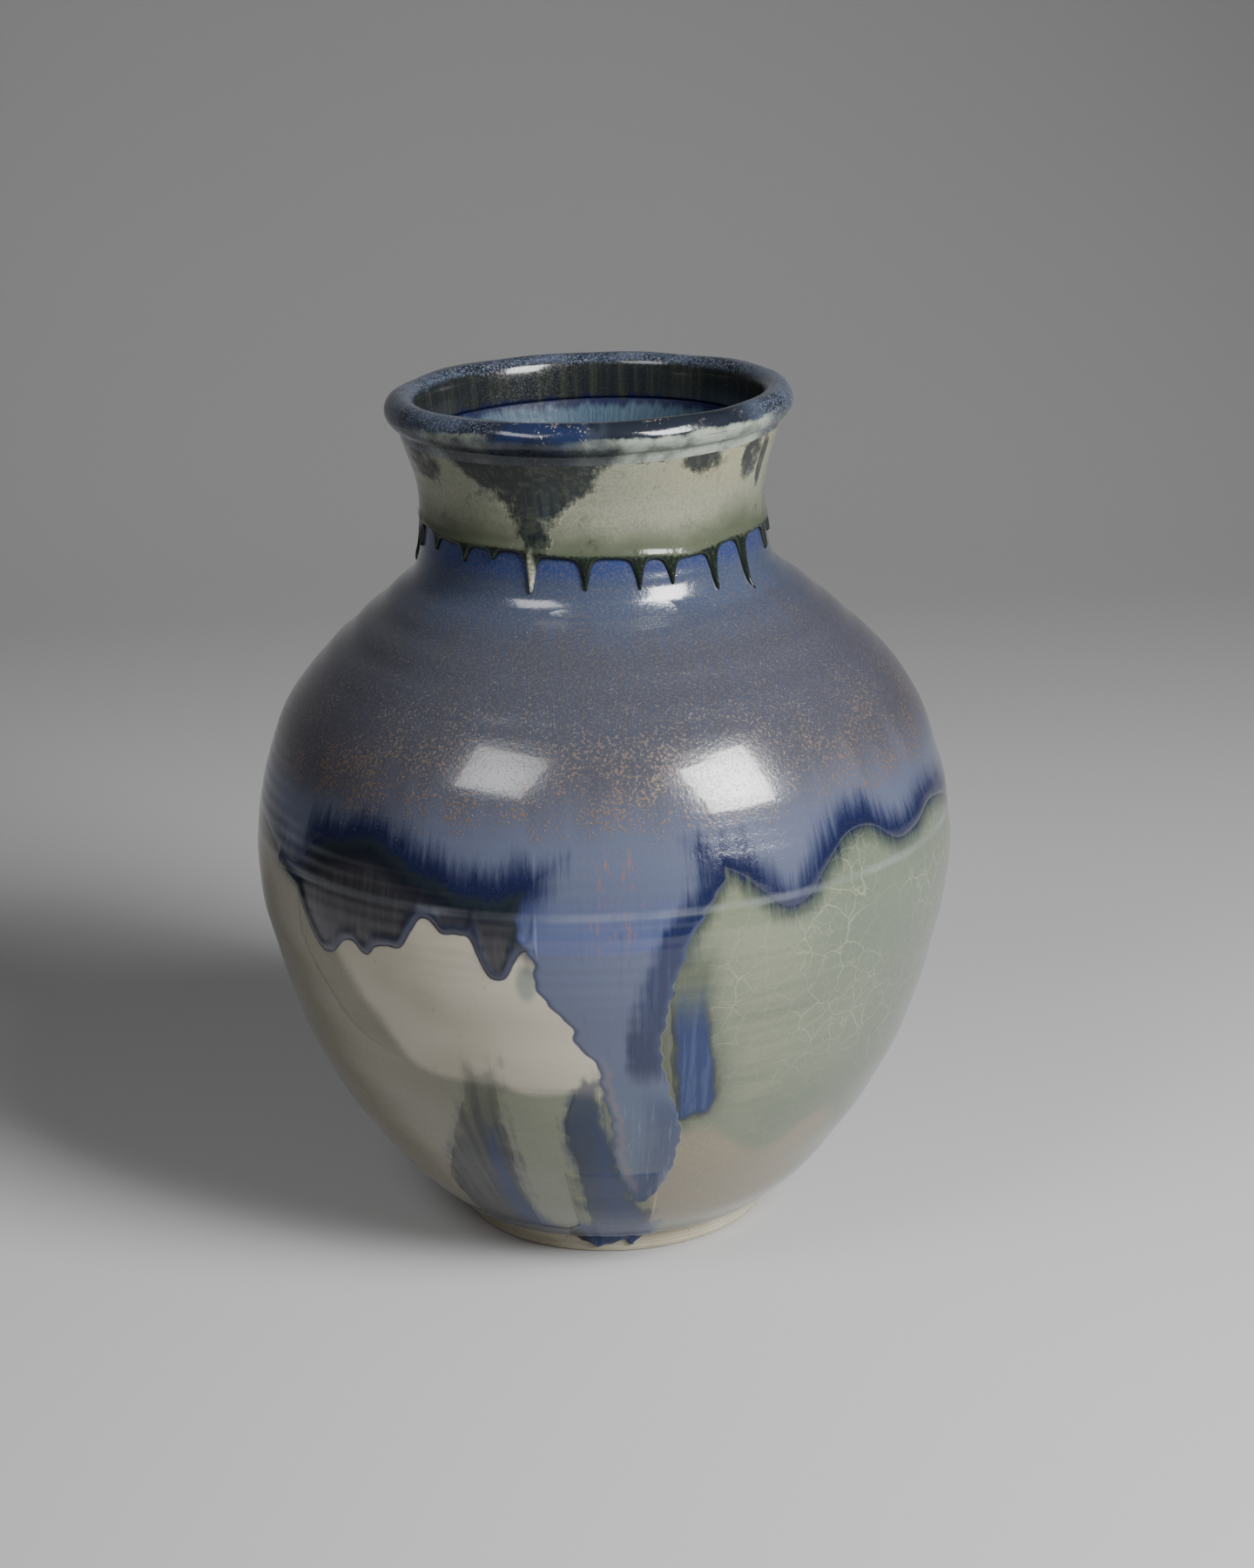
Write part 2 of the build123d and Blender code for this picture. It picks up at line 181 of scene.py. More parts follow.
def flatten(edge, around, height):
    # Distance above a wavy edge, square to it instead of straight down
    here = edge(around)
    slope = (edge(around + 0.25) - edge(around - 0.25)) / (np.radians(0.5) * clayRadius(height))
    return (height - here) / np.sqrt(1.0 + slope**2)


def wrap(around):
    return (around + 180.0) % 360.0 - 180.0


def pourLine(around):
    return through(pourEdge, wrap(around))


def beadLine(around):
    return through(beadEdge, around)


def collarLine(around):
    top = through(collarTop, wrap(around))
    low = top.copy()
    for azimuth, tip in collarDrips:
        beside = np.abs((around - azimuth + 180.0) % 360.0 - 180.0)
        away = np.radians(beside) * neckCurve[0][1]
        low = np.minimum(low, top - (top - tip) / (1.0 + (away / 2.2) ** 2) ** 2.2)
    return low


def tongueSide(points, height):
    # Edge of the middle tongue, a little ragged
    waver = 0.28 * np.sin(height / 2.3) * np.sin(height / 7.1)
    return through(points, height) + waver + 0.16 * np.sin(height / 0.9)


def runShape(path, height):
    # Azimuth of the middle and half the width of a run, from points of (height, azimuth, half width in mm)
    middle = through([(level, azimuth) for level, azimuth, half in path], height)
    half = through([(level, half) for level, azimuth, half in path], np.clip(height, path[0][0], path[-1][0]))
    return middle, half


def insideRun(path, around, height):
    # Distance inside a run of glaze
    middle, half = runShape(path, height)
    sideways = half - np.abs(arc(around, middle, height))
    return np.minimum(sideways, (path[-1][0] + 2.0 - height) * 0.6)


def readings(around, height, radius):
    # What each vertex knows of the pours near it: mm inside an edge, or a soft mask from 0 to 1
    fromRight = -arc(around, tongueSide(tongueRight, height), height)
    inTongue = np.minimum(arc(around, tongueSide(tongueLeft, height), height), fromRight)
    inTongue = np.minimum(inTongue, (height - 31.0) * 0.8)
    inTongue = np.where(height > 166, -40, inTongue)
    bandReach = ease(around, -66, -60) * (1 - ease(around, -11.5, -10.2))
    inBand = flatten(beadLine, np.clip(around, -66, -10), height)
    inBand = np.where(bandReach > 0, inBand, -30)
    creamLeft = ease(around + 0.32 * (height - 110), -50, -38)
    creamFoot = ease(height + 0.12 * around, 72, 86)
    cream = creamLeft * creamFoot * (1 - ease(around, -4, 4)) * (1 - ease(height, 137, 142))
    sideRun = np.minimum(insideRun(sideRunPath, around, height), height - 66.0 - 0.5 * (around - 12))
    poolLeft = footPool["left"] - footPool["spread"] * (1 - ease(height, 8, 17))
    pool = np.minimum(arc(around, poolLeft, height), -arc(around, footPool["right"] + 2.0, height))
    pool = np.minimum(pool, (18.0 - height) * 0.6)
    hump = 60 + 6 * np.sin(np.radians((around - 8) * 12)) - 0.25 * (around - 20)
    blush = ease(around, 5, 9) * (1 - ease(around, 38, 64)) * ease(height, 12, 18)
    blush = blush * (1 - ease(height, hump - 8, hump))
    blush = blush + 0.6 * (1 - ease(around, -44, -30)) * ease(around, -95, -70) * (1 - ease(height, 30, 70))
    ledge = (1 - ease(height, 12, 18)) * ease(around, -58, -46) * (1 - ease(around, -12, -8))
    return {
        "pour": flatten(pourLine, around, height),
        "band": inBand,
        "bandReach": bandReach,
        "tongue": inTongue,
        "tongueRight": fromRight,
        "cream": cream,
        "sideRun": sideRun,
        "lowLeft": insideRun(lowLeftPath, around, height),
        "blueStreak": insideRun(blueStreakPath, around, height),
        "lowMiddle": insideRun(lowMiddlePath, around, height),
        "pool": pool,
        "blush": blush,
        "ledge": ledge,
        "stain": softSpot(around, height, -12.6, 119.5, 3.6, 6.5),
        "around": around,
        "height": height,
    }


def softSpot(around, height, azimuth, level, halfWidth, halfHeight):
    away = np.hypot(arc(around, azimuth, height) / halfWidth, (height - level) / halfHeight)
    return 1 - ease(away, 0.55, 1.25)


def collarDepth(around, height):
    # Distance inside the collar coat. A drip is shallow all the way down, so it keeps the dark of the edge.
    return np.maximum(np.minimum(flatten(collarLine, around, height), 1.0),
                      height - through(collarTop, wrap(around)))


def neckReadings(around, height, radius):
    smoke = ease(insideRun(smokePath, around, height), -6.0, 6.0)
    for azimuth, level, halfWidth, halfHeight, strength in darkPatches:
        smoke = np.maximum(smoke, softSpot(around, height, azimuth, level, halfWidth, halfHeight) * strength)
    return {
        "collar": collarDepth(around, height),
        "smoke": smoke,
        "mainDrip": softSpot(around, height, -20.6, 230, 1.5, 9),
        "height": height,
    }


# ---- meshes ----


def finishMesh(name, mesh, place, read, material, nodes):
    # Moves a unit shape to where place says, stores the readings and gives the piece to the frame
    bmesh.ops.recalc_face_normals(mesh, faces=mesh.faces)
    data = bpy.data.meshes.new(name)
    mesh.to_mesh(data)
    mesh.free()
    count = len(data.vertices)
    flat = np.empty(count * 3)
    data.vertices.foreach_get("co", flat)
    around, height, radius = place(flat.reshape(-1, 3))
    turn = np.radians(around)
    spots = np.stack([radius * np.sin(turn), -radius * np.cos(turn), height], axis=1) * metre
    data.vertices.foreach_set("co", spots.ravel())
    for key, values in read(around, height, radius).items():
        data.attributes.new(key, "FLOAT", "POINT").data.foreach_set("value", values.astype(np.float32))
    data.shade_smooth()
    data.update()
    data.materials.append(material)
    piece = bpy.data.objects.new(name, data)
    bpy.context.scene.collection.objects.link(piece)
    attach(piece, "root")
    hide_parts(*nodes)
    print(name, len(data.polygons), "faces")
    return piece


def carriedRound(strip, steps):
    # Upright strip of (way out, way up) carried once about Z from a grid, and sewn where it meets itself
    mesh = bmesh.new()
    bmesh.ops.create_grid(mesh, x_segments=steps, y_segments=len(strip) - 1, size=1.0)
    for vert in mesh.verts:
        turn = math.pi * (vert.co.x + 1)
        out, up = strip[round((vert.co.y + 1) / 2 * (len(strip) - 1))]
        vert.co = (out * math.sin(turn), -out * math.cos(turn), up)
    bmesh.ops.remove_doubles(mesh, verts=mesh.verts[:], dist=1e-5)
    return mesh


def roundShell(rows, steps, backRows):
    # Closed shell about Z: 2 out is its outside and 1 out its inside, and up runs 0 to 1
    outside = [(2.0, i / rows) for i in range(rows + 1)]
    inside = [(1.0, 1.0 - i / backRows) for i in range(backRows + 1)]
    return carriedRound(outside + inside + outside[:1], steps)


def fromSpin(unit):
    around = np.degrees(np.arctan2(unit[:, 0], -unit[:, 1]))
    outer = np.hypot(unit[:, 0], unit[:, 1]) > 1.5
    return around, unit[:, 2], outer


def frontSheet(columns, rows):
    # Closed thin slab: X and Y run -1 to 1 over the sheet, Z tells the face from the back
    mesh = bmesh.new()
    bmesh.ops.create_grid(mesh, x_segments=columns, y_segments=rows, size=1.0)
    bmesh.ops.solidify(mesh, geom=mesh.faces[:], thickness=1.0)
    return mesh


def fromSheet(unit):
    return (unit[:, 0] + 1) / 2, (unit[:, 1] + 1) / 2, np.abs(unit[:, 2]) < 0.5


sunk = 0.35
ledgeBead = {"height": 0.7, "above": 1.8, "reach": 1.7}


def wallAt(around, height, lift):
    above = height - footHeight - ledgeBead["above"]
    bead = ledgeBead["height"] * np.exp(-(above / ledgeBead["reach"]) ** 2)
    return clayRadius(height) + relief(around, height) + lift + bead


# ---- shader tools: each adds a node to the tree being built ----

build = {"tree": None}


def paint(code):
    # Colour from its six-digit screen code, as the linear values that a shader takes
    parts = [int(code[i:i + 2], 16) / 255 for i in (0, 2, 4)]
    linear = [part / 12.92 if part <= 0.04045 else ((part + 0.055) / 1.055) ** 2.4 for part in parts]
    return (*linear, 1.0)


def newNode(kind):
    return build["tree"].nodes.new(kind)


def feed(socket, value):
    # A socket takes a link, a number or vector, or a colour code
    if isinstance(value, bpy.types.NodeSocket):
        build["tree"].links.new(value, socket)
    else:
        socket.default_value = paint(value) if isinstance(value, str) else value


def calc(operation, first, second=0.0, third=0.0, clamp=False):
    node = newNode("ShaderNodeMath")
    node.operation = operation
    node.use_clamp = clamp
    feed(node.inputs[0], first)
    feed(node.inputs[1], second)
    feed(node.inputs[2], third)
    return node.outputs[0]


def ramp(value, low, high, start=0.0, end=1.0):
    node = newNode("ShaderNodeMapRange")
    node.interpolation_type = "SMOOTHSTEP"
    feed(node.inputs["Value"], value)
    feed(node.inputs["From Min"], low)
    feed(node.inputs["From Max"], high)
    feed(node.inputs["To Min"], start)
    feed(node.inputs["To Max"], end)
    return node.outputs[0]


def tint(factor, under, over, kind="MIX"):
    node = newNode("ShaderNodeMix")
    node.data_type = "RGBA"
    node.blend_type = kind
    feed(node.inputs["Factor"], factor)
    feed(node.inputs["A"], under)
    feed(node.inputs["B"], over)
    return node.outputs["Result"]


def grain(vector, scale, detail=2.0, roughness=0.5, warp=0.0):
    node = newNode("ShaderNodeTexNoise")
    feed(node.inputs["Vector"], vector)
    feed(node.inputs["Scale"], scale)
    feed(node.inputs["Detail"], detail)
    feed(node.inputs["Roughness"], roughness)
    feed(node.inputs["Distortion"], warp)
    return node.outputs[0]


def swirl(vector, scale, reach):
    # Soft wander in all three directions, up to half of reach each way
    node = newNode("ShaderNodeTexNoise")
    feed(node.inputs["Vector"], vector)
    feed(node.inputs["Scale"], scale)
    centred = newNode("ShaderNodeVectorMath")
    centred.operation = "MULTIPLY_ADD"
    feed(centred.inputs[0], node.outputs["Color"])
    centred.inputs[1].default_value = (reach, reach, reach)
    centred.inputs[2].default_value = (-reach / 2, -reach / 2, -reach / 2)
    return centred.outputs[0]


def cells(vector, scale):
    node = newNode("ShaderNodeTexVoronoi")
    node.feature = "DISTANCE_TO_EDGE"
    feed(node.inputs["Vector"], vector)
    feed(node.inputs["Scale"], scale)
    return node.outputs["Distance"]


def reading(name):
    node = newNode("ShaderNodeAttribute")
    node.attribute_name = name
    return node.outputs["Fac"]


def both(first, second):
    return calc("MULTIPLY", first, second)


def less(value):
    return calc("SUBTRACT", 1.0, value, clamp=True)


def wallPlaces():
    # The place on the wall in mm, and the same place stretched upright so that noise in it runs in streaks
    where = newNode("ShaderNodeTexCoord")
    inMm = newNode("ShaderNodeVectorMath")
    inMm.operation = "SCALE"
    feed(inMm.inputs[0], where.outputs["Object"])
    inMm.inputs["Scale"].default_value = 1 / metre
    apart = newNode("ShaderNodeSeparateXYZ")
    feed(apart.inputs[0], inMm.outputs[0])
    x, y, z = apart.outputs
    fromAxis = calc("SQRT", calc("MULTIPLY_ADD", x, x, calc("MULTIPLY", y, y)))
    fromAxis = calc("MAXIMUM", fromAxis, 1.0)
    together = newNode("ShaderNodeCombineXYZ")
    feed(together.inputs[0], calc("MULTIPLY", calc("DIVIDE", x, fromAxis), 100.0))
    feed(together.inputs[1], calc("MULTIPLY", calc("DIVIDE", y, fromAxis), 100.0))
    feed(together.inputs[2], calc("MULTIPLY", z, 0.07))
    return inMm.outputs[0], together.outputs[0], x, z


def plus(value, noise, amount):
    return calc("MULTIPLY_ADD", noise, amount, value)


def shift(value, noise, reach):
    # Value moved by a noise, up to half of reach each way
    return calc("MULTIPLY_ADD", calc("SUBTRACT", noise, 0.5), reach, value)


def openGroup(name):
    build["tree"] = bpy.data.node_groups.new(name, "ShaderNodeTree")
    for title, kind in (("Color", "NodeSocketColor"), ("Roughness", "NodeSocketFloat"),
                        ("Height", "NodeSocketFloat")):
        build["tree"].interface.new_socket(title, in_out="OUTPUT", socket_type=kind)


def closeGroup(color, roughness, height):
    end = newNode("NodeGroupOutput")
    feed(end.inputs["Color"], color)
    feed(end.inputs["Roughness"], roughness)
    feed(end.inputs["Height"], height)
    return build["tree"]


# cool is a cooler green with painted shade in it, laid on towards the right side
celadonLook = {"green": "707561", "deep": "5d6555", "coolShade": "566054", "warm": "7b7260", "blush": "7c7260",
               "crack": "9a9d84"}
creamLook = {"cream": "aaa494", "shade": "9f9886", "stain": "6a746e"}
bandLook = {"charcoal": "2c2b2f", "ash": "393a3e", "navy": "171d3a", "ink": "0d0f1e", "haze": "4a4c48"}
# In blueLook, ring is the pale colour of a painted highlight along the ring step
blueLook = {"ink": "151a35", "cobalt": "151b3b", "sky": "505669", "slate": "3d3e45", "mauve": "3e3d46",
            "tan": "655245", "pale": "595555", "neck": "384155", "rust": "77594c",
            "under": "29365e", "halo": "232b30", "ring": "9aa0a8"}
tongueLook = {"lilac": "4a5167", "deep": "242f4e", "foot": "485367", "edge": "24304f", "tan": "6b5f60",
              "cobalt": "151d3c", "upper": "485076", "wisp": "93a3b8"}
runLook = {"blue": "283356", "mauve": "373742", "green": "43483f", "edge": "2b3143", "pool": "3b4663",
           "dark": "1c212b", "gap": "464b3c"}


def celadonColors(place, x, z):
    look = celadonLook
    cloud = grain(place, 0.018, 2.0)
    fine = grain(place, 0.9, 3.0, 0.6)
    color = tint(ramp(cloud, 0.35, 0.65), look["green"], look["deep"])
    # Cooler and darker towards the right side: a colour shift with painted shade in it
    color = tint(ramp(x, 30.0, 105.0, 0.0, 0.8), color, look["coolShade"])
    color = tint(ramp(x, 0.0, -80.0, 0.0, 0.8), color, look["warm"])
    rings = newNode("ShaderNodeCombineXYZ")
    feed(rings.inputs[0], calc("MULTIPLY", x, 0.02))
    feed(rings.inputs[2], calc("MULTIPLY", z, 0.22))
    rings = ramp(grain(rings.outputs[0], 1.0, 3.0, 0.6), 0.42, 0.66)
    rings = both(rings, ramp(z, 132.0, 100.0, 0.2, 1.0))
    rings = both(rings, ramp(x, -10.0, 50.0, 0.15, 0.7))
    color = tint(rings, color, look["deep"])
    color = tint(both(reading("blush"), ramp(cloud, 0.3, 0.6, 0.7, 1.0)), color, look["blush"])
    color = tint(ramp(fine, 0.35, 0.7, 0.0, 0.3), color, look["deep"])
    bent = newNode("ShaderNodeVectorMath")
    feed(bent.inputs[0], place)
    feed(bent.inputs[1], swirl(place, 0.12, 5.0))
    wide = cells(bent.outputs[0], 0.1)
    small = cells(bent.outputs[0], 0.24)
    crack = calc("MAXIMUM", ramp(wide, 0.024, 0.006), ramp(small, 0.034, 0.008, 0.0, 0.6))
    shown = both(ramp(grain(place, 0.03, 1.0), 0.4, 0.6, 0.35, 1.0), ramp(x, 0.0, 40.0, 0.3, 1.0))
    crack = both(crack, both(shown, ramp(z, 60.0, 90.0, 0.3, 1.0)))
    color = tint(both(crack, 0.35), color, look["crack"])
    return color, crack


def creamColors(place):
    look = creamLook
    cloud = grain(place, 0.025, 2.0)
    color = tint(ramp(cloud, 0.4, 0.7), look["cream"], look["shade"])
    grit = ramp(grain(place, 0.55, 1.0), 0.74, 0.78)
    color = tint(both(grit, 0.4), color, look["stain"])
    return color


def bandColors(streaks, pour, band, around):
    look = bandLook
    streak = grain(streaks, 0.55, 3.0, 0.6)
    color = tint(ramp(streak, 0.4, 0.7), look["charcoal"], look["ash"])
    leftEnd = ramp(plus(around, streak, 6.0), -50.0, -58.0, 0.0, 0.75)
    color = tint(leftEnd, color, look["haze"])
    color = tint(ramp(band, 5.0, 1.0, 0.0, 0.9), color, look["navy"])
    color = tint(ramp(plus(pour, streak, 8.0), -7.0, 2.0), color, look["ink"])
    return color


def blueColors(place, streaks, pour, height, x):
    look = blueLook
    fineStreak = grain(streaks, 0.85, 5.0, 0.75)
    wideStreak = grain(streaks, 0.16, 2.0)
    feather = plus(plus(pour, wideStreak, 9.0), fineStreak, 14.0)
    color = tint(ramp(feather, 10.5, 16.0), look["ink"], look["cobalt"])
    color = tint(ramp(feather, 14.0, 25.0), color, look["sky"])
    level = plus(height, wideStreak, 16.0)
    color = tint(ramp(level, 168.0, 192.0), color, look["slate"])
    mauve = both(ramp(x, -30.0, 90.0, 0.25, 1.0), ramp(level, 180.0, 205.0))
    mauve = calc("MAXIMUM", mauve, both(ramp(x, -50.0, -90.0), ramp(height, 160.0, 172.0)))
    color = tint(both(mauve, 0.8), color, look["mauve"])
    color = tint(both(ramp(fineStreak, 0.4, 0.6), ramp(height, 172.0, 194.0, 0.0, 0.42)), color, look["neck"])
    color = tint(ramp(level, 216.0, 232.0), color, look["neck"])
    color = tint(ramp(plus(height, fineStreak, 8.0), 231.0, 238.0), color, look["under"])
    fine = grain(place, 1.3, 3.0, 0.7)
    paleGrit = both(ramp(fine, 0.42, 0.72, 0.0, 0.6), ramp(height, 158.0, 174.0, 0.15, 1.0))
    color = tint(paleGrit, color, look["pale"])
    clump = grain(place, 0.07, 2.0)
    crowd = both(ramp(level, 164.0, 178.0), ramp(height, 214.0, 178.0, 0.35, 1.0))
    crowd = both(crowd, ramp(clump, 0.3, 0.6, 0.45, 1.0))
    speck = grain(place, 1.05, 2.0, 0.55)
    bar = plus(0.73, crowd, -0.2)
    speck = ramp(calc("SUBTRACT", speck, bar), 0.0, 0.04)
    speck = both(speck, ramp(height, 226.0, 214.0))
    speckColor = tint(ramp(height, 172.0, 200.0), look["tan"], look["pale"])
    color = tint(both(speck, 0.85), color, speckColor)
    return color, speck, fineStreak


def tongueColors(place, streaks, tongue, height):
    look = tongueLook
    streak = grain(streaks, 0.5, 4.0, 0.65)
    right = reading("tongueRight")
    fromRight = plus(right, streak, 9.0)
    color = tint(ramp(plus(height, streak, 5.0), 98.0, 78.0), look["lilac"], look["foot"])
    lowBlue = both(ramp(height, 84.0, 70.0, 0.0, 0.75), ramp(fromRight, 19.0, 9.0))
    color = tint(lowBlue, color, look["deep"])
    upper = ramp(plus(height, streak, 2.5), 129.5, 131.5, 0.0, 0.6)
    color = tint(upper, color, look["upper"])
    cobalt = both(ramp(fromRight, 17.5, 12.0), ramp(plus(height, streak, 14.0), 86.0, 96.0))
    cobaltColor = tint(ramp(streak, 0.46, 0.66, 0.0, 0.8), look["cobalt"], look["deep"])
    color = tint(both(cobalt, 0.95), color, cobaltColor)
    color = tint(ramp(streak, 0.55, 0.7, 0.0, 0.22), color, look["deep"])
    wisp = both(ramp(grain(streaks, 0.9, 3.0, 0.7), 0.56, 0.66), ramp(height, 80.0, 66.0))
    color = tint(both(wisp, 0.16), color, look["wisp"])
    seam = both(ramp(tongue, 2.2, 0.4), ramp(height, 82.0, 100.0, 0.15, 0.6))
    color = tint(seam, color, look["edge"])
    fromLeft = shift(tongue, grain(place, 0.5, 3.0, 0.7), 3.0)
    line = both(ramp(fromLeft, 0.5, 2.0), ramp(fromLeft, 4.6, 2.6))
    line = both(line, both(ramp(height, 98.0, 84.0), ramp(right, 5.0, 9.0)))
    color = tint(both(line, 0.45), color, look["tan"])
    return color


def wallGlaze():
    # Every coat below the collar takes its finish from this one, so that they melt into each other
    openGroup("wallGlaze")
    place, streaks, x, z = wallPlaces()
    pour = reading("pour")
    band = reading("band")
    tongue = reading("tongue")
    height = reading("height")
    around = reading("around")

    color, crack = celadonColors(place, x, z)
    soft = grain(place, 0.35, 3.0)
    edgeNoise = plus(-0.8, soft, 1.6)
    cream = shift(reading("cream"), grain(place, 0.08, 3.0), 0.5)
    cream = both(ramp(cream, 0.2, 0.75), ramp(reading("cream"), 0.0, 0.1))
    color = tint(cream, color, creamColors(place))
    color = tint(both(reading("stain"), 0.75), color, creamLook["stain"])

    runStreak = grain(streaks, 0.3, 4.0, 0.65)
    wander = plus(-4.5, runStreak, 9.0)
    drift = shift(wander, grain(place, 0.13, 4.0, 0.6), 10.0)
    lowLeft = calc("ADD", reading("lowLeft"), drift)
    runMask = both(ramp(lowLeft, -3.0, 3.0), ramp(height, 90.0, 60.0, 0.55, 0.95))
    runColor = tint(ramp(height, 74.0, 45.0), runLook["green"], runLook["mauve"])
    runColor = tint(ramp(runStreak, 0.42, 0.62), runColor, runLook["dark"])
    color = tint(both(runMask, 0.85), color, runColor)
    blueStreak = plus(reading("blueStreak"), wander, 0.6)
    color = tint(ramp(blueStreak, -2.5, 0.5, 0.0, 0.6), color, runLook["edge"])
    color = tint(ramp(blueStreak, -0.5, 2.5, 0.0, 0.95), color, runLook["blue"])
    lowMiddle = calc("ADD", reading("lowMiddle"), drift)
    runMask = both(ramp(lowMiddle, -2.5, 2.0), ramp(height, 90.0, 66.0, 0.75, 1.0))
    deepBlue = both(ramp(lowMiddle, 1.0, 4.0), ramp(x, -9.0, -3.0, 0.3, 1.0))
    runColor = tint(deepBlue, runLook["edge"], runLook["blue"])
    runColor = tint(ramp(runStreak, 0.5, 0.66, 0.0, 0.6), runColor, runLook["edge"])
    color = tint(both(runMask, 0.92), color, runColor)
    pool = plus(reading("pool"), wander, 0.4)
    poolColor = tint(ramp(runStreak, 0.36, 0.56), runLook["blue"], runLook["pool"])
    color = tint(ramp(pool, -1.0, 0.5), color, poolColor)

    sideRun = plus(reading("sideRun"), drift, 0.45)
    smoky = both(ramp(sideRun, -6.0, 3.0), ramp(height, 141.0, 118.0, 0.0, 0.7))
    color = tint(smoky, color, runLook["green"])
    sideMask = both(ramp(sideRun, -1.0, 3.0), ramp(plus(height, runStreak, 20.0), 132.0, 108.0))
    sideColor = tint(ramp(sideRun, 0.5, 3.0), runLook["dark"], runLook["blue"])
    patchy = both(ramp(sideRun, 1.5, 4.0), ramp(grain(streaks, 0.45, 3.0, 0.7), 0.46, 0.6, 0.1, 0.9))
    sideColor = tint(patchy, sideColor, runLook["pool"])
    color = tint(sideMask, color, sideColor)
    beside = reading("tongueRight")
    gap = both(both(ramp(beside, -5.5, -1.0), ramp(beside, 2.0, 0.5)), ramp(sideRun, 1.5, -1.5))
    gap = both(gap, both(ramp(height, 58.0, 70.0), ramp(height, 112.0, 98.0)))
    color = tint(both(gap, 0.9), color, runLook["gap"])
    ledge = both(reading("ledge"), ramp(runStreak, 0.35, 0.5, 0.6, 1.0))
    color = tint(ledge, color, runLook["dark"])

    bandEdge = plus(band, edgeNoise, 0.3)
    leftFade = plus(around, grain(streaks, 0.7, 3.0, 0.6), 8.0)
    bandMask = both(ramp(bandEdge, -0.35, 0.45), reading("bandReach"))
    bandMask = both(bandMask, ramp(leftFade, -60.0, -54.0))
    color = tint(bandMask, color, bandColors(streaks, pour, band, around))

    union = calc("MAXIMUM", pour, tongue)
    blue, speck, fineStreak = blueColors(place, streaks, union, height, x)
    halo = both(ramp(plus(union, fineStreak, 7.0), -3.0, 3.5), 0.8)
    halo = both(halo, ramp(height, 118.0, 130.0))
    color = tint(halo, color, blueLook["halo"])
    pourMask = ramp(plus(pour, fineStreak, 9.0), 3.2, 6.0)
    tongueMask = ramp(plus(tongue, edgeNoise, 0.5), -0.4, 0.6)
    color = tint(calc("MAXIMUM", pourMask, tongueMask), color, blue)
    blend = both(tongueMask, ramp(plus(height, fineStreak, 14.0), 158.0, 140.0))
    color = tint(blend, color, tongueColors(place, streaks, tongue, height))
    rust = both(ramp(grain(streaks, 0.7, 4.0, 0.8), 0.53, 0.6), ramp(height, 122.0, 138.0))
    rust = both(rust, both(ramp(height, 163.0, 156.0), ramp(x, -12.0, 0.0)))
    rust = both(rust, ramp(x, 14.0, 6.0))
    color = tint(both(rust, both(ramp(soft, 0.42, 0.56), 0.75)), color, blueLook["rust"])
    # Pale line along the ring step at 140 mm: painted highlight
    ring = both(ramp(height, 138.6, 140.0), ramp(height, 142.6, 140.8))
    ring = both(ring, ramp(grain(place, 0.05, 2.0), 0.4, 0.6, 0.35, 1.0))
    color = tint(both(ring, 0.16), color, blueLook["ring"])

    roughness = tint(cream, (0.17, 0.17, 0.17, 1.0), (0.36, 0.36, 0.36, 1.0))
    roughness = tint(both(speck, pourMask), roughness, (0.3, 0.3, 0.3, 1.0))
    bumps = calc("MULTIPLY", grain(place, 0.8, 3.0, 0.6), 0.075)
    bumps = plus(bumps, both(speck, pourMask), 0.06)
    bumps = plus(bumps, both(crack, less(calc("ADD", pourMask, cream))), -0.03)
    return closeGroup(color, roughness, bumps)


collarLook = {"cream": "7d7f6e", "green": "474c3e", "pool": "141b17", "olive": "454a3d", "smoke": "13181b",
              "haze": "303a44", "worn": "9c9c8b", "gold": "928c6a"}
# crest and green tint the strip of painted highlight on the front of the roll
rimLook = {"dark": "1a1e26", "slate": "3a414e", "blue": "1f2844", "frost": "596172", "fleck": "a39684",
           "crest": "8b9288", "green": "4d5548"}
clayLook = {"light": "b5ae9b", "dark": "a8a08b", "grain": "9c9480", "grog": "6e5f49", "turned": "8a7d62"}
insideLook = {"olive": "202321", "oliveDark": "191c1f", "pale": "363731", "line": "0c1230", "light": "394d57",
              "blue": "28364b", "deep": "3d4e53"}


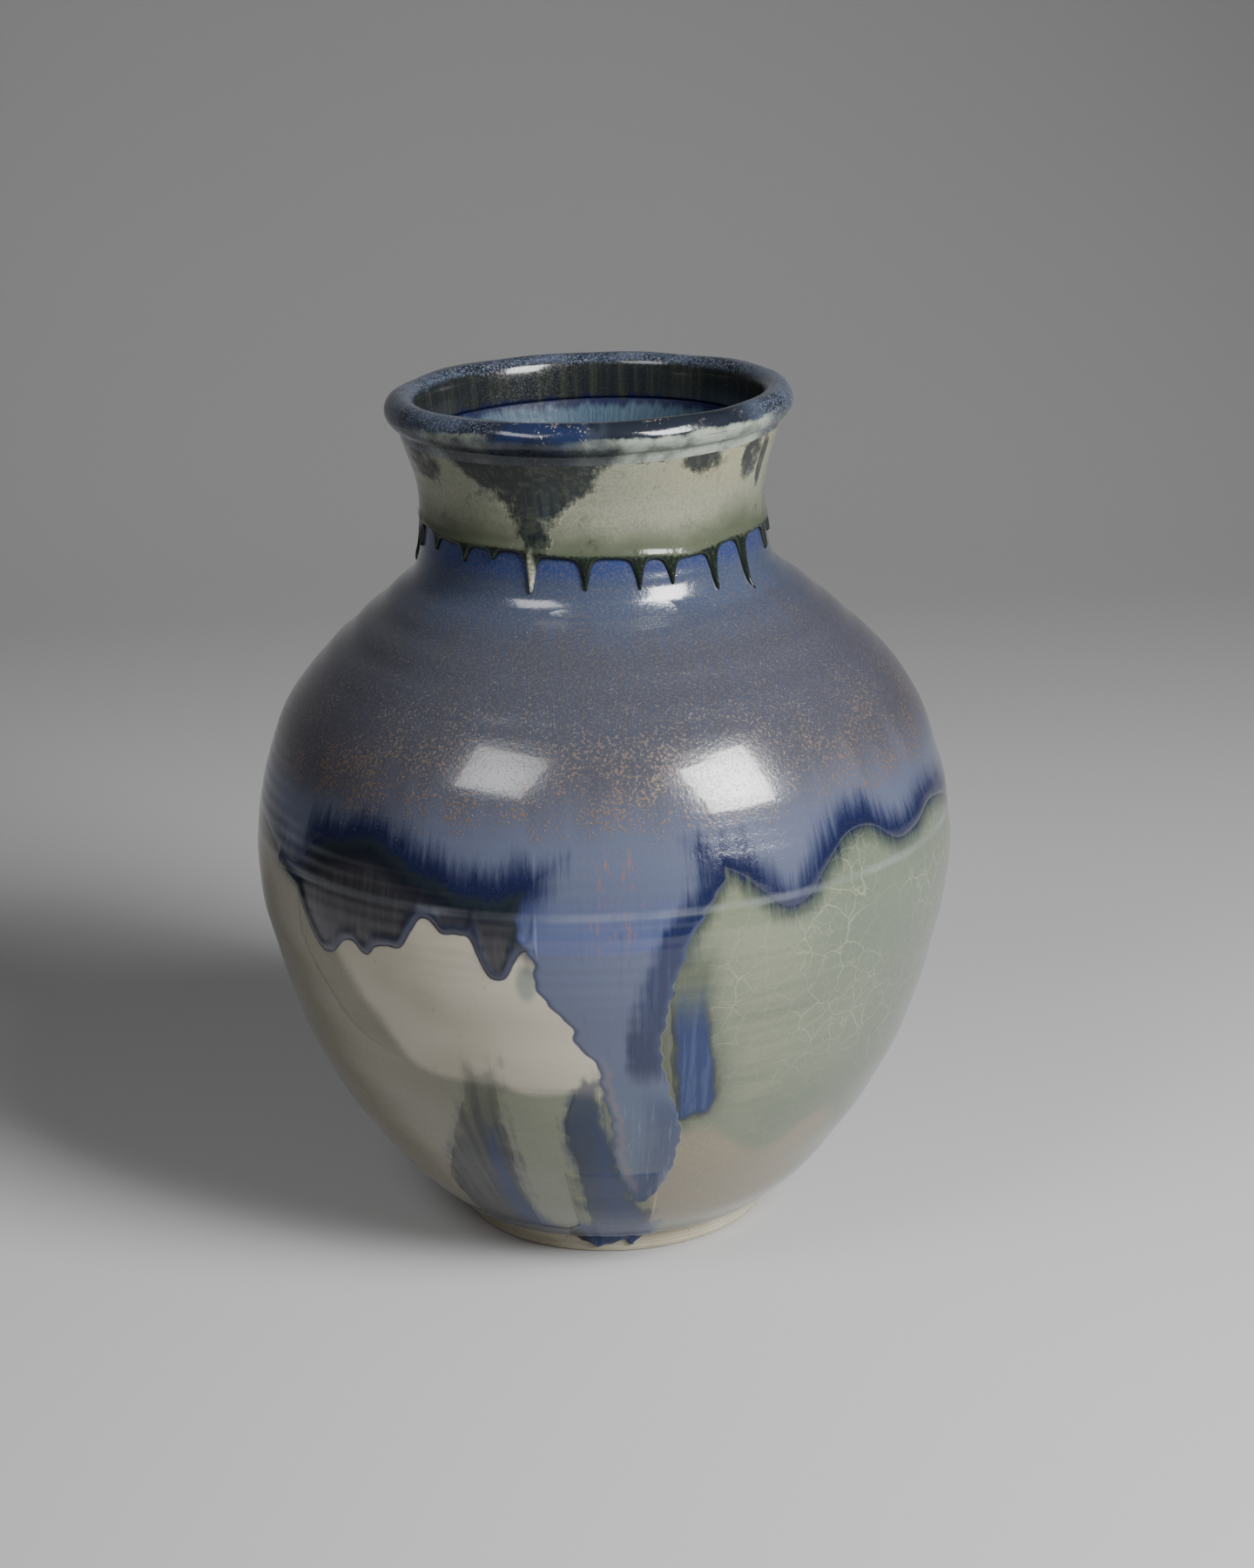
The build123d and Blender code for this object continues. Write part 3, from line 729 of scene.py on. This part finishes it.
def collarGlaze():
    openGroup("collarGlaze")
    look = collarLook
    place, streaks, x, z = wallPlaces()
    edge = reading("collar")
    height = reading("height")
    fine = grain(place, 1.1, 3.0, 0.7)
    fineStreak = grain(streaks, 0.8, 3.0, 0.6)
    cloud = grain(place, 0.045, 3.0)
    low = plus(edge, cloud, 16.0)
    color = tint(ramp(low, 25.0, 9.0), look["cream"], look["green"])
    color = tint(ramp(fine, 0.35, 0.65, 0.0, 0.35), color, look["green"])
    color = tint(both(ramp(x, 5.0, 40.0, 0.0, 0.4), ramp(height, 250.0, 262.0)), color, look["gold"])
    flow = shift(reading("smoke"), fineStreak, 0.35)
    flow = shift(flow, grain(place, 0.1, 6.0, 0.75), 2.9)
    wideStreak = grain(streaks, 0.3, 3.0, 0.6)
    hazy = both(ramp(wideStreak, 0.42, 0.66), ramp(height, 264.0, 252.0, 0.1, 0.6))
    smokeColor = tint(hazy, look["smoke"], look["haze"])
    mottle = ramp(grain(place, 0.3, 4.0, 0.7), 0.48, 0.64, 0.0, 0.4)
    smokeColor = tint(mottle, smokeColor, look["olive"])
    color = tint(ramp(flow, 0.18, 0.8, 0.0, 0.95), color, smokeColor)
    torn = both(ramp(flow, 0.16, 0.26), ramp(flow, 0.42, 0.32))
    torn = both(torn, ramp(grain(place, 0.1, 2.0), 0.45, 0.6))
    torn = both(torn, ramp(reading("smoke"), 0.02, 0.2))
    color = tint(both(torn, ramp(fine, 0.45, 0.6, 0.0, 0.7)), color, look["worn"])
    gather = shift(edge, fine, 1.6)
    color = tint(ramp(gather, 4.2, 1.5, 0.0, 0.6), color, look["olive"])
    color = tint(ramp(gather, 1.7, 0.95, 0.0, 0.96), color, look["pool"])
    drip = both(reading("mainDrip"), ramp(fine, 0.35, 0.6, 0.35, 0.9))
    color = tint(drip, color, look["worn"])
    return closeGroup(color, ramp(fine, 0.3, 0.7, 0.1, 0.24), calc("MULTIPLY", grain(place, 0.5, 2.0), 0.05))


def linerGlaze():
    # Olive under the lip, a dark line where it stops, and streaky blue from there to the floor
    openGroup("linerGlaze")
    look = insideLook
    place, streaks, x, z = wallPlaces()
    streak = grain(streaks, 0.22, 3.0, 0.65)
    fineStreak = grain(streaks, 0.6, 4.0, 0.7)
    fine = grain(place, 0.7, 3.0, 0.6)
    under = tint(ramp(fineStreak, 0.36, 0.64), look["blue"], look["light"])
    under = tint(ramp(fine, 0.45, 0.7, 0.0, 0.4), under, look["deep"])
    under = tint(ramp(z, 252.0, 215.0), under, look["deep"])
    over = tint(ramp(streak, 0.38, 0.6), look["oliveDark"], look["olive"])
    over = tint(ramp(streak, 0.52, 0.8, 0.0, 0.6), over, look["pale"])
    level = plus(z, grain(streaks, 0.12, 4.0, 0.7), 9.0)
    level = plus(level, fineStreak, 2.5)
    color = tint(ramp(level, 268.0, 270.5), under, look["line"])
    color = tint(ramp(level, 270.6, 273.5), color, over)
    return closeGroup(color, ramp(fine, 0.3, 0.7, 0.42, 0.6),
                      calc("MULTIPLY", grain(place, 0.45, 4.0, 0.6), 0.16))


def rimGlaze(linerTree):
    openGroup("rimGlaze")
    look = rimLook
    place, streaks, x, z = wallPlaces()
    section = reading("section")
    fine = grain(place, 1.2, 3.0, 0.7)
    patch = grain(place, 0.06, 3.0, 0.6)
    frost = ramp(grain(place, 1.4, 4.0, 0.75), 0.48, 0.62)
    color = tint(ramp(patch, 0.4, 0.6), look["dark"], look["slate"])
    color = tint(both(frost, reading("frost")), color, look["frost"])
    cobalt = both(reading("cobalt"), ramp(section, -14.0, 8.0))
    color = tint(both(cobalt, ramp(patch, 0.35, 0.5, 0.4, 1.0)), color, look["blue"])
    color = tint(both(reading("black"), 0.9), color, look["dark"])
    worn = ramp(grain(place, 0.62, 4.0, 0.75), 0.585, 0.615)
    worn = both(worn, ramp(grain(place, 0.09, 2.0), 0.46, 0.58))
    wornHere = calc("MAXIMUM", reading("cobalt"), both(reading("black"), 0.6))
    worn = both(worn, calc("MAXIMUM", wornHere, 0.3))
    color = tint(both(worn, 0.85), color, look["fleck"])
    wavy = shift(section, patch, 70.0)
    wavy = shift(wavy, fine, 16.0)
    # pale is a strip of painted highlight along the front of the roll, tinted cream and green
    pale = both(ramp(wavy, 16.0, 2.0), ramp(grain(place, 0.03, 3.0), 0.4, 0.52, 0.2, 1.0))
    crestHighlightTint = ramp(grain(place, 0.12, 4.0, 0.6), 0.45, 0.66, 0.0, 0.8)
    crestHighlightColor = tint(crestHighlightTint, look["crest"], look["green"])
    color = tint(both(pale, both(reading("front"), 0.9)), color, crestHighlightColor)
    smoke = shift(reading("smoke"), grain(place, 0.11, 5.0, 0.75), 1.6)
    smoke = both(ramp(smoke, 0.2, 0.75), ramp(wavy, 18.0, -14.0))
    smokeColor = tint(ramp(fine, 0.45, 0.65, 0.0, 0.5), collarLook["smoke"], look["slate"])
    color = tint(both(smoke, 0.75), color, smokeColor)
    inside = newNode("ShaderNodeGroup")
    inside.node_tree = linerTree
    color = tint(ramp(wavy, 138.0, 162.0), color, inside.outputs["Color"])
    rough = tint(both(frost, reading("frost")), (0.16, 0.16, 0.16, 1.0), (0.42, 0.42, 0.42, 1.0))
    bumps = calc("MULTIPLY", grain(place, 0.6, 3.0), 0.08)
    return closeGroup(color, rough, plus(bumps, worn, 0.03))


def bareClay():
    openGroup("bareClay")
    look = clayLook
    place, streaks, x, z = wallPlaces()
    fine = grain(place, 1.4, 4.0, 0.7)
    cloud = grain(place, 0.05, 2.0)
    grog = ramp(grain(place, 0.9, 1.0), 0.7, 0.74)
    color = tint(ramp(cloud, 0.35, 0.65), look["light"], look["dark"])
    color = tint(ramp(fine, 0.4, 0.7, 0.0, 0.4), color, look["grain"])
    color = tint(both(grog, 0.5), color, look["grog"])
    turned = calc("SINE", calc("MULTIPLY", z, 5.2))
    color = tint(ramp(turned, 0.3, 1.0, 0.0, 0.2), color, look["turned"])
    return closeGroup(color, ramp(fine, 0.3, 0.7, 0.55, 0.75),
                      plus(calc("MULTIPLY", fine, 0.08), turned, 0.02))


def glazed(name, group, gloss, strength, shine=0.5):
    # Material that takes its look from a group. gloss is the clear coat over it, strength the bumps.
    material = bpy.data.materials.new(name)
    material.use_nodes = True
    build["tree"] = material.node_tree
    shader = build["tree"].nodes["Principled BSDF"]
    look = newNode("ShaderNodeGroup")
    look.node_tree = group
    bump = newNode("ShaderNodeBump")
    feed(bump.inputs["Strength"], strength)
    feed(bump.inputs["Distance"], metre)
    feed(bump.inputs["Height"], look.outputs["Height"])
    feed(shader.inputs["IOR"], 1.5)
    feed(shader.inputs["Specular IOR Level"], shine)
    feed(shader.inputs["Coat Weight"], gloss)
    feed(shader.inputs["Coat Roughness"], 0.06)
    feed(shader.inputs["Base Color"], look.outputs["Color"])
    feed(shader.inputs["Roughness"], look.outputs["Roughness"])
    feed(shader.inputs["Normal"], bump.outputs["Normal"])
    return material


wallTree = wallGlaze()
celadonMaterial = glazed("celadonGlaze", wallTree, 0.3, 0.8)
creamMaterial = glazed("creamGlaze", wallTree, 0.05, 0.5)
blueMaterial = glazed("blueGlaze", wallTree, 0.5, 1.0)
runMaterial = glazed("runnyBlueGlaze", wallTree, 0.5, 0.8)
darkMaterial = glazed("darkGlaze", wallTree, 0.6, 0.6)
lowRunMaterial = glazed("lowRunGlaze", wallTree, 0.1, 0.8, 0.25)
collarMaterial = glazed("collarGlaze", collarGlaze(), 0.2, 0.8, 0.25)
linerTree = linerGlaze()
linerMaterial = glazed("linerGlaze", linerTree, 0.0, 1.0, 0.2)
rimMaterial = glazed("rimGlaze", rimGlaze(linerTree), 0.3, 1.0, 0.35)
clayMaterial = glazed("bareStoneware", bareClay(), 0.0, 0.8)
print("materials ready")

# ---- the outer coats ----

celadonCoat = {"rows": 190, "steps": 480}


def placeCeladon(unit):
    around, up, outer = fromSpin(unit)
    height = footHeight + up * (shoulderHeight - footHeight)
    outside = wallAt(around, height, baseCoat) - 0.9 * (1 - roundEdge(height - footHeight, 1.2))
    return around, height, np.where(outer, outside, clayRadius(height) - 0.2)


finishMesh("celadonCoat", roundShell(celadonCoat["rows"], celadonCoat["steps"], 12), placeCeladon, readings,
           celadonMaterial, ["celadon_coat"])

blueCoat = {"rows": 120, "steps": 600, "thickness": 0.4, "neckTop": 243.0, "neckThickness": 0.7}


def placeBlue(unit):
    around, up, outer = fromSpin(unit)
    low = pourLine(around)
    height = low + up * (blueCoat["neckTop"] - low)
    inside = flatten(pourLine, around, height)
    lift = baseCoat - sunk + (sunk + blueCoat["thickness"]) * roundEdge(inside, 5.0)
    onNeck = ease(height, shoulderHeight - 4, shoulderHeight + 3)
    lift = lift + (blueCoat["neckThickness"] - lift) * onNeck
    return around, height, np.where(outer, wallAt(around, height, lift), clayRadius(height) - 0.3)


finishMesh("blueCoat", roundShell(blueCoat["rows"], blueCoat["steps"], 10), placeBlue, readings, blueMaterial,
           ["blue_pour_coat"])

collarCoat = {"rows": 66, "steps": 900, "thickness": 0.8, "lip": 0.5}


def placeCollar(unit):
    around, up, outer = fromSpin(unit)
    low = collarLine(around)
    height = low + up * (rimSeam + 2.5 - low)
    inside = collarDepth(around, height)
    lift = blueCoat["neckThickness"] - sunk + (sunk + collarCoat["thickness"]) * roundEdge(inside, 1.3)
    lift = lift + collarCoat["lip"] * np.exp(-((inside - 1.3) / 1.5) ** 2)
    return around, height, np.where(outer, wallAt(around, height, lift), clayRadius(height) + 0.1)


finishMesh("collarCoat", roundShell(collarCoat["rows"], collarCoat["steps"], 8), placeCollar, neckReadings,
           collarMaterial, ["collar_coat"])

# ---- patches and runs over the celadon ----


def upright(low, high, left, right, thickness, width, topRise=1.0):
    # Sheet between two edges that wander as they go down the wall. A small topRise lets it swell out slowly.
    def place(unit):
        across, up, face = fromSheet(unit)
        height = low + up * (high - low)
        leftEdge = left(height)
        rightEdge = right(height)
        around = leftEdge + across * (rightEdge - leftEdge)
        span = np.radians(rightEdge - leftEdge) * clayRadius(height)
        inside = np.minimum(np.minimum(across, 1 - across) * span,
                            np.minimum(up, (1 - up) * topRise) * (high - low))
        lift = baseCoat - sunk + (sunk + thickness) * roundEdge(inside, width)
        return around, height, wallAt(around, height, np.where(face, lift, baseCoat - sunk - 0.25))
    return place


def runEdge(path, side):
    # Edge of a run. side is -1 for left and 1 for right.
    def edge(height):
        middle, half = runShape(path, height)
        half = half + 0.5 * np.sin(height / 4.1 + side) + 0.3 * np.sin(height / 1.7 + 2 * side)
        return middle + side * np.degrees(half / clayRadius(height))
    return edge


def level(leftEnd, rightEnd, low, high, thickness, width, lip=0.0):
    # Sheet between two edges that wander as they go round the wall
    def place(unit):
        across, up, face = fromSheet(unit)
        around = leftEnd + across * (rightEnd - leftEnd)
        lowEdge = low(around)
        highEdge = high(around)
        height = lowEdge + up * (highEdge - lowEdge)
        span = np.radians(rightEnd - leftEnd) * clayRadius(height)
        below = flatten(low, around, height)
        inside = np.minimum(np.minimum(across, 1 - across) * span, np.minimum(below, highEdge - height))
        lift = baseCoat - sunk + (sunk + thickness) * roundEdge(inside, width)
        lift = lift + lip * np.exp(-((below - 2.2) / 1.8) ** 2) * ease(inside, 0, 2)
        return around, height, wallAt(around, height, np.where(face, lift, baseCoat - sunk - 0.25))
    return place


frontTongue = {"low": 29.0, "high": 165.0, "thickness": 0.38, "tipWidth": 0.4}
tongueShape = upright(frontTongue["low"], frontTongue["high"],
                      lambda height: tongueSide(tongueLeft, height) - frontTongue["tipWidth"],
                      lambda height: tongueSide(tongueRight, height) + frontTongue["tipWidth"],
                      frontTongue["thickness"], 2.6)
finishMesh("frontTongue", frontSheet(60, 260), tongueShape, readings, runMaterial,
           ["front_tongue"])

lowRuns = {"thickness": 0.3, "edge": 3.0, "topRise": 0.12}
for name, path, low, node, columns in (("sideRun", sideRunPath, 66.0, "side_run", 30),
                                       ("lowLeftRun", lowLeftPath, 12.0, "low_run_left", 60),
                                       ("lowMiddleRun", lowMiddlePath, 12.0, "low_run_middle", 44)):
    shape = upright(low, path[-1][0] + 2.0, runEdge(path, -1), runEdge(path, 1), lowRuns["thickness"],
                    lowRuns["edge"],
                    lowRuns["topRise"])
    finishMesh(name, frontSheet(columns, 120), shape, readings, lowRunMaterial, [node])

overlapBand = {"left": -65.5, "right": -10.2, "thickness": 0.35, "lip": 0.5}
bandShape = level(overlapBand["left"], overlapBand["right"], beadLine, lambda around: pourLine(around) + 5,
                  overlapBand["thickness"], 1.8, overlapBand["lip"])
finishMesh("overlapBand", frontSheet(240, 60), bandShape, readings, darkMaterial,
           ["overlap_band"])

creamFoot = [(-60, 128), (-52, 100), (-38, 84), (-20, 80), (2, 80)]
creamShape = level(-58, 1, lambda around: through(creamFoot, around),
                   lambda around: beadLine(np.minimum(around, -11)) + 2.5, 0.22, 3.5)
finishMesh("creamPatch", frontSheet(150, 90), creamShape, readings, creamMaterial,
           ["cream_patch"])


def placePool(unit):
    # The lowest rows turn under the ledge and hang over the foot ring
    across, up, face = fromSheet(unit)
    low = footPool["low"] + 0.9 * np.sin(across * 8.0 + 2.2) + 0.4 * np.sin(across * 19.0)
    height = low + up ** 1.6 * (footPool["high"] - low)
    onLip = 1 - ease(height, 11, 19)
    hanging = 1 - ease(height, 3, footHeight)
    left = footPool["left"] - footPool["spread"] * onLip + 5.0 * hanging
    right = footPool["right"] + 2.0 * onLip - 5.5 * hanging
    around = left + across * (right - left)
    span = np.radians(right - left) * clayRadius(height)
    inside = np.minimum(np.minimum(across, 1 - across) * span,
                        np.minimum(height - low, footPool["high"] - height))
    thickness = roundEdge(inside, 1.8)
    onWall = wallAt(around, np.maximum(height, footHeight), baseCoat - sunk + (sunk + 0.55) * thickness)
    onFoot = footRadius - 0.7 + (footPool["overHang"] + 0.7) * thickness
    ledge = ease(height, footHeight - 2.2, footHeight + 1.2)
    front = onFoot + (onWall - onFoot) * ledge
    back = (footRadius - 1.2) + (clayRadius(np.maximum(height, footHeight)) + 0.1 - footRadius + 1.2) * ledge
    return around, height, np.where(face, front, np.minimum(back, front - 0.05))


finishMesh("footPool", frontSheet(60, 110), placePool, readings, lowRunMaterial, ["foot_pool"])

ledgeShape = level(-52, -13, lambda around: footHeight + 0.2 + 0 * around,
                   lambda around: footHeight + 6.5 + 0 * around,
                   0.55, 1.6)
finishMesh("ledgePool", frontSheet(120, 16), ledgeShape, readings, darkMaterial, ["ledge_pool"])

# ---- rim, inside and foot ----

rimPath = [(60.2, rimSeam), (61.0, 267.8), (61.9, 270.0), (63.6, 271.0), (65.0, 273.2), (65.3, 275.0),
           (64.9, 276.9), (63.5, 278.8), (61.3, vaseHeight - 0.1), (59.2, vaseHeight - 0.1), (57.3, 279.1),
           (55.9, 277.6), (55.2, 275.4), (54.8, 271.8), (54.3, rimSeam)]
stemPoints = len(rimPath) - 1


def onPath(path, along):
    stops = range(len(path))
    radius = through([(stop, point[0]) for stop, point in zip(stops, path)], along)
    height = through([(stop, point[1]) for stop, point in zip(stops, path)], along)
    return radius, height


rimCoat = {"rows": 96, "steps": 480, "thickness": 0.6}


def rimAlong(unit):
    around, up, outer = fromSpin(unit)
    return around, up * stemPoints, outer


def placeRim(unit):
    around, along, outer = rimAlong(unit)
    radius, height = onPath(rimPath, along)
    turn = np.radians(around)
    swell = 0.22 * np.sin(turn * 5 + 1.0) * np.sin(turn * 2) + 0.12 * np.sin(turn * 11 + along)
    bulge = swell * ease(along, 2, 5) * (1 - ease(along, 9, 12))
    inward = 1 - rimCoat["thickness"] / 5.1
    centreRadius, centreHeight = 60.2, 275.0
    innerRadius = centreRadius + (radius - centreRadius) * inward
    innerHeight = np.maximum(centreHeight + (height - centreHeight) * inward, rimSeam)
    height = np.minimum(height + bulge * (height > 274), vaseHeight)
    wave = relief(around, np.minimum(height, 262.0))
    return around, np.where(outer, height, innerHeight), np.where(outer, radius + bulge, innerRadius) + wave


def rimReadings(around, height, radius):
    # section is the turn about the middle of the roll: 0 outermost, 90 on the crest, 180 innermost
    section = (np.degrees(np.arctan2(height - 275.0, radius - 60.2)) + 90) % 360 - 90
    return {
        "section": section,
        # front marks the azimuths where the roll carries its strip of painted highlight
        "front": ease(around, -58, -50) * (1 - ease(around, -34, -27)) + ease(around, -8,
                                                                              0) * (1 - ease(around, 58, 76)),
        "cobalt": ease(around, -30, -24) * (1 - ease(around, -4, 2)),
        "black": ease(around, 0, 6) * (1 - ease(around, 44, 58)),
        "frost": 1 - ease(around, -36, -22) * (1 - ease(around, 44, 60)),
        "smoke": ease(insideRun(smokePath, around, height), -3.5, 4.5),
    }


finishMesh("rimCoat", roundShell(rimCoat["rows"], rimCoat["steps"], rimCoat["rows"] // 3), placeRim,
                      rimReadings, rimMaterial, ["rim_coat"])


def noReadings(around, height, radius):
    return {}


def placeMouthBand(unit):
    around, up, outer = fromSpin(unit)
    height = 254.0 + up * (rimSeam - 254.0)
    wall = through(insideCurve, height)
    return around, height, np.where(outer, wall - 0.05, wall - 0.65) + relief(around, height)


finishMesh("mouthBand", roundShell(24, 360, 24), placeMouthBand, noReadings, linerMaterial,
           ["mouth_band_coat"])


def bowlShell(rows, steps):
    # Closed thin bowl about Z: out runs 0 to 1 from the middle, up is 0 on its back and 1 on its face
    back = [(i / rows, 0.0) for i in range(rows + 1)]
    return carriedRound(back + [(out, 1.0) for out, up in reversed(back)], steps)


linerPath = [(0.0, 14.6), (20.0, 14.6), (38.5, 14.8)]
linerPath += [(radius - 0.6, height + 0.15) for height, radius in insideCurve[1:-2]]
linerPath += [(49.3, 254.0)]


def placeLiner(unit):
    around = np.degrees(np.arctan2(unit[:, 0], -unit[:, 1]))
    along = np.hypot(unit[:, 0], unit[:, 1]) * (len(linerPath) - 1)
    face = unit[:, 2] > 0.5
    radius, height = onPath(linerPath, along)
    onFloor = 1 - ease(height, 15, 30)
    backRadius = radius + 0.55 * (1 - onFloor) * ease(along, 0.0, 1.0)
    backHeight = np.where(face, height, height - 0.55 * onFloor)
    wave = relief(around, height) * ease(along, 1, 4)
    return around, backHeight, np.where(face, radius, backRadius) + wave


finishMesh("insideLiner", bowlShell(150, 300), placeLiner, noReadings, linerMaterial,
           ["inside_liner_coat"])

footPath = [(45.0, 0.0), (49.2, 0.05), (50.4, 0.9), (50.7, 3.5), (51.15, footHeight)]
footBack = [(44.6, 0.0), (42.2, 0.05), (41.5, 0.9), (41.5, 3.5), (41.5, footHeight)]


def placeFoot(unit):
    around, up, outer = fromSpin(unit)
    radius, height = onPath(footPath, up * (len(footPath) - 1))
    backRadius, backHeight = onPath(footBack, up * (len(footBack) - 1))
    lines = 0.05 * np.sin(height * 4.6 + np.radians(around)) * ease(height, 0.9, 2.0)
    height = np.where(outer, height, backHeight)
    return around, np.maximum(height, 0.0), np.where(outer, radius + lines, backRadius)


finishMesh("footRing", roundShell(48, 420, 48), placeFoot, noReadings, clayMaterial,
           ["foot_ring"])

# Clay that stays as it was drawn, and shows only under the vase
for name in ("floor_disc", "lower_wall", "upper_wall", "neck_collar", "rim_roll"):
    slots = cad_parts[name].material_slots
    for slot in slots:
        slot.material = clayMaterial
print("vase ready")

# ---- floor, light and camera ----

stage = {"floor": "b9b9ba", "cloud": "9a9a98", "roughness": 0.65, "size": 9.0, "sweepRadius": 0.85,
         "back": 1.65}


def buildStage():
    # Paper sweep: flat under the vase, then curved up behind it
    mesh = bmesh.new()
    reach = stage["size"] / 2
    profile = [(-reach, 0.0), (stage["back"] - stage["sweepRadius"], 0.0)]
    for i in range(1, 17):
        turn = math.radians(90 * i / 16)
        profile.append((stage["back"] - stage["sweepRadius"] + stage["sweepRadius"] * math.sin(turn),
                        stage["sweepRadius"] * (1 - math.cos(turn))))
    profile.append((stage["back"], 5.0))
    line = [mesh.verts.new((-reach, y, z)) for y, z in profile]
    edges = [mesh.edges.new(pair) for pair in zip(line, line[1:])]
    swept = bmesh.ops.extrude_edge_only(mesh, edges=edges)
    moved = [item for item in swept["geom"] if isinstance(item, bmesh.types.BMVert)]
    bmesh.ops.translate(mesh, verts=moved, vec=(stage["size"], 0, 0))
    bmesh.ops.recalc_face_normals(mesh, faces=mesh.faces)
    data = bpy.data.meshes.new("backdrop")
    mesh.to_mesh(data)
    mesh.free()
    data.shade_smooth()
    material = bpy.data.materials.new("backdropPaper")
    material.use_nodes = True
    build["tree"] = material.node_tree
    shader = build["tree"].nodes["Principled BSDF"]
    where = newNode("ShaderNodeTexCoord")
    cloud = ramp(grain(where.outputs["Object"], 1.5, 2.0), 0.3, 0.7, 0.0, 0.08)
    feed(shader.inputs["Base Color"], tint(cloud, stage["floor"], stage["cloud"]))
    feed(shader.inputs["Roughness"], stage["roughness"])
    data.materials.append(material)
    backdrop = bpy.data.objects.new("backdrop", data)
    bpy.context.scene.collection.objects.link(backdrop)


# Azimuths are from the front, positive to the right
lights = {
    "keyLight": {"azimuth": 47.5, "elevation": 31, "width": 0.50, "tall": 0.66, "power": 15.5, "spread": 115},
    "fillLight": {"azimuth": -41.5, "elevation": 43, "width": 0.5, "tall": 0.46, "power": 2.0, "spread": 110},
}
lightDistance = 1.25
worldLight = {"color": (0.5, 0.51, 0.53, 1.0), "strength": 0.06}


def softBox(name, spec):
    # Rectangular light aimed at the vase
    data = bpy.data.lights.new(name, "AREA")
    data.shape = "RECTANGLE"
    data.size = spec["width"]
    data.size_y = spec["tall"]
    data.energy = spec["power"]
    data.spread = math.radians(spec["spread"])
    light = bpy.data.objects.new(name, data)
    turn = math.radians(spec["azimuth"])
    lift = math.radians(spec["elevation"])
    aim = Vector((0.0, 0.0, 0.16))
    away = Vector((math.sin(turn) * math.cos(lift), -math.cos(turn) * math.cos(lift), math.sin(lift)))
    light.location = aim + away * lightDistance
    light.rotation_euler = away.to_track_quat("Z", "Y").to_euler()
    bpy.context.scene.collection.objects.link(light)


camera = {"distance": 1.047, "height": 0.478, "down": 17.59, "right": 0.45, "roll": 1.8, "lens": 76.0}


def buildCamera():
    data = bpy.data.cameras.new("camera")
    data.lens = camera["lens"]
    data.sensor_width = 36.0
    data.clip_end = 30.0
    view = bpy.data.objects.new("camera", data)
    level = Euler((0, 0, math.radians(-camera["right"]))).to_matrix()
    pitch = Euler((math.radians(90 - camera["down"]), 0, 0)).to_matrix()
    roll = Euler((0, 0, math.radians(-camera["roll"]))).to_matrix()
    view.rotation_euler = (level @ pitch @ roll).to_euler()
    view.location = (0.0, -camera["distance"], camera["height"])
    bpy.context.scene.collection.objects.link(view)
    bpy.context.scene.camera = view


buildStage()
for name, spec in lights.items():
    softBox(name, spec)
world = bpy.data.worlds.new("studio")
world.use_nodes = True
world.node_tree.nodes["Background"].inputs["Color"].default_value = worldLight["color"]
world.node_tree.nodes["Background"].inputs["Strength"].default_value = worldLight["strength"]
bpy.context.scene.world = world
buildCamera()
print("stage ready")
